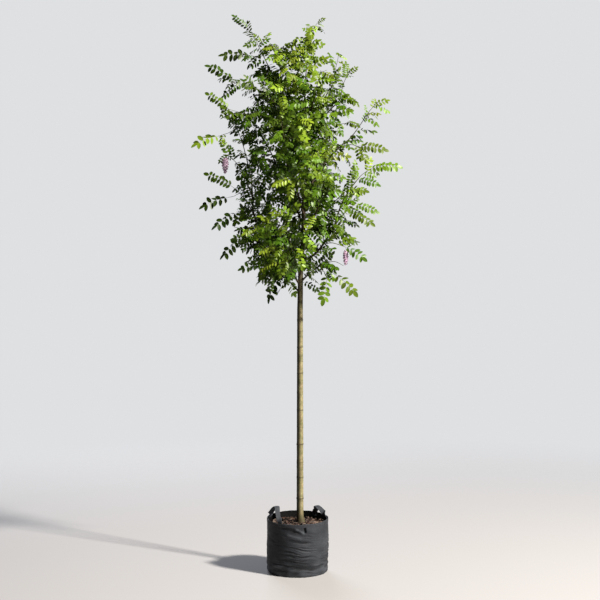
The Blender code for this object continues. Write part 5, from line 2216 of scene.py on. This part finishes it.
    def build(self) -> None:
        """Builds the branches and every leaf on the tree."""
        patterns = LeafPatterns(self.palette).build()
        branches = self.wood.branch_sticks()
        shoots = self.wood.shoots(branches)
        for name, stick in branches.items():
            spurs = self.wood.spurs_on(stick, 0.05, lengths_along(stick.line)[-1] - 0.01)
            self.build_spurs(name, [stick], spurs, patterns)
        trunk = Stick([Vector(p[:3]) for p in TRUNK_LINE], [p[3] for p in TRUNK_LINE])
        spurs = self.wood.spurs_on(trunk, self.spurs_from, lengths_along(trunk.line)[-1])
        self.build_spurs("trunk", [], spurs, patterns)
        for shoot in shoots:
            plans, twigs = self.shoot_leaves(shoot)
            self.build_foliage(f"foliage_{shoot.name}", plans, [shoot.stick, *twigs], 1, patterns,
                               f"leafy_shoot_{shoot.name}")
        lines = [stick.line for stick in branches.values()] + [shoot.stick.line for shoot in shoots]
        self.build_tufts("young_tufts", lines, YOUNG_TUFTS, 0.18, patterns)
        self.build_tufts("shaded_tufts", lines, SHADED_TUFTS, 0.60, patterns)
        for leaf in (leaf for versions in patterns.values() for leaf in versions):
            bpy.data.objects.remove(leaf)


# The flowers


@dataclass
class FlowerRaceme:
    """A hanging raceme of small pea flowers, open at the top and in bud at its tip."""

    palette: Palette
    side: str
    top: Vector
    length: float
    widest: float
    tone: float
    stalk: float = 0.022
    stalk_radius: float = 0.0011
    flowers: int = 42
    flower_size: float = 0.020
    # How full the raceme is, at shares of its length from the top.
    fullness: tuple = ((0.0, 0.6), (0.12, 0.85), (0.35, 1.0), (0.65, 0.78), (0.88, 0.42), (1.0, 0.22))
    chance: random.Random = own_chance(5)

    def petal(self, name: str, segments: int, depth: float, place: Callable[..., tuple]) -> Piece:
        """One petal, or two that lie together.

        Args:
            name: Its name.
            segments: How many sides it has.
            depth: How deep its colour is.
            place: Gives a point of it from a point of the sphere of radius 1.

        Returns:
            The petal.
        """
        made = shaped_sphere(name, segments, 4, place)
        bpy.ops.object.shade_smooth()
        set_faces(made, "depth", depth)
        return dress(made, self.palette.petal)

    def flower_pattern(self) -> Piece:
        """One flower of length 1 along +X: a rounded banner standing up behind two folded wings.

        Returns:
            The flower.
        """
        banner = self.petal("banner", 8, 0.05, lambda x, y, z: (
            0.42 + 0.10 * x + 0.22 * z * z - 0.10 * y * y, 0.46 * y, 0.22 + 0.44 * z))
        wings = self.petal("wings", 6, 0.75, lambda x, y, z: (
            0.62 + 0.40 * x, 0.20 * y * (1.2 - 0.4 * x), -0.02 + 0.20 * z - 0.12 * x * x))
        stub = Stick([Vector((0.0, 0, 0)), Vector((0.34, 0, 0.06))], [0.04, 0.10])
        foot = sticks_mesh("flower_foot", [stub], 0, self.palette.stalk)
        return join([banner, wings, foot], "flower")

    def build(self) -> None:
        """Builds the raceme on its own stalk."""
        pattern = self.flower_pattern()
        end = self.top - UP * (self.stalk + self.length * 0.96)
        line = [self.top.lerp(end, k / 8) for k in range(9)]
        for k, place in enumerate(line):
            place.x += 0.003 * math.sin(k * 0.8)
        axis = Stick(line, [self.stalk_radius * (1 - 0.07 * k) for k in range(9)])
        parts = [sticks_mesh("raceme_axis", [axis], 1, self.palette.stalk)]
        for index in range(self.flowers):
            share = (index + 0.5) / self.flowers
            fullness = between(self.fullness, share)[1]
            outward = ring_point(1.0, index * SPIRAL)
            size = self.flower_size * (0.45 + 0.62 * fullness)
            place = self.top - UP * (self.stalk + share * self.length * 0.93)
            root = place + outward * max(0.0, self.widest * fullness - size * 0.95)
            along = (outward + UP * self.chance.uniform(-0.55, 0.05)).normalized()
            upper = along.cross(UP.cross(along).normalized())
            flower = copy_of(pattern, seat(root, along, upper, size), "flower_copy")
            faded = self.tone + 0.25 * share + self.chance.uniform(-0.12, 0.12)
            for item in flower.data.attributes["depth"].data:
                item.value = held(item.value * 0.6 + faded)
            parts.append(flower)
        piece = join(parts, f"raceme_{self.side}", [pattern])
        add_piece(piece, "petal_lilac", f"flower_raceme_{self.side}")


# The studio


@dataclass
class Studio:
    """The pale floor, the soft lights and the camera."""

    floor_radius: float = 26.0
    backdrop: str = "#dfe0e2"
    seen_strength: float = 1.0
    ambient: float = 0.070
    # Each square lamp: its name, place, the height on the stem that it faces, side, watts and colour.
    lamps: tuple = (
        ("key_light", (8.7, -6.1, 8.8), 1.9, 1.2, 3150.0, "#fff9f0"),
        ("fill_light", (-3.0, -7.5, 2.4), 1.8, 4.0, 4.0, "#e8f0ff"),
        ("back_light", (-2.5, 9.5, 4.2), 1.8, 5.0, 520.0, "#eef3ff"),
    )

    def build_floor(self) -> None:
        """A wide pale floor."""
        deselect()
        bpy.ops.mesh.primitive_circle_add(vertices=128, radius=self.floor_radius, fill_type="NGON")
        dress(take_new("studio_floor"), StudioFloor().material())

    def build_lights(self) -> None:
        """A high key light on the right, a weak fill on the left and a soft light from behind."""
        for name, place, height, size, watts, hue in self.lamps:
            lamp = bpy.data.lights.new(name, "AREA")
            lamp.size = size
            lamp.energy = watts
            lamp.color = linear(hue)[:3]
            made = bpy.data.objects.new(name, lamp)
            bpy.context.scene.collection.objects.link(made)
            made.location = place
            made.rotation_euler = (UP * height - Vector(place)).to_track_quat("-Z", "Y").to_euler()

    def build_surround(self) -> None:
        """An even surround that looks pale, and lights the plant only as much as an open shade would."""
        world = bpy.data.worlds.new("pale_surround")
        world.use_nodes = True
        tree = world.node_tree
        tree.nodes.clear()
        path = add_node(tree, "LightPath").outputs["Is Camera Ray"]
        strength = add_node(tree, "MapRange", {"Value": path, "To Min": self.ambient,
                                               "To Max": self.seen_strength})
        surround = add_node(tree, "Background", {"Color": self.backdrop, "Strength": strength})
        add_node(tree, "OutputWorld", {"Surface": surround})
        bpy.context.scene.world = world
        bpy.context.scene.view_settings.view_transform = "Standard"

    def build_camera(self) -> None:
        """The camera at the picture's own place, level and straight on."""
        lens = bpy.data.cameras.new("front_view")
        lens.lens = CAMERA_LENS
        lens.sensor_width = SENSOR_WIDTH
        camera = bpy.data.objects.new("front_view", lens)
        bpy.context.scene.collection.objects.link(camera)
        camera.location = CAMERA_PLACE
        camera.rotation_euler = (math.pi / 2, 0.0, 0.0)
        bpy.context.scene.camera = camera

    def build(self) -> None:
        """Sets up the whole studio."""
        self.build_camera()
        self.build_floor()
        self.build_lights()
        self.build_surround()


def main() -> None:
    """Builds the studio and every part of the plant, in order."""
    logging.basicConfig(level=logging.INFO, format="%(message)s")
    Studio().build()
    palette = make_palette()
    PlantingBag(palette).build()
    Mulch(palette).build()
    wood = Wood(palette)
    wood.build_trunk()
    Crown(palette, wood).build()
    ends = {shoot.name: shoot.stick.line[-1] for shoot in wood.shoots(wood.branch_sticks())}
    FlowerRaceme(palette, "left", ends["left_long_b"] - UP * 0.0028, 0.104, 0.0275, -0.1).build()
    FlowerRaceme(palette, "right", ends["right_long_b"] - UP * 0.0028, 0.094, 0.0225, -0.15).build()


if __name__ == "__main__":
    main()
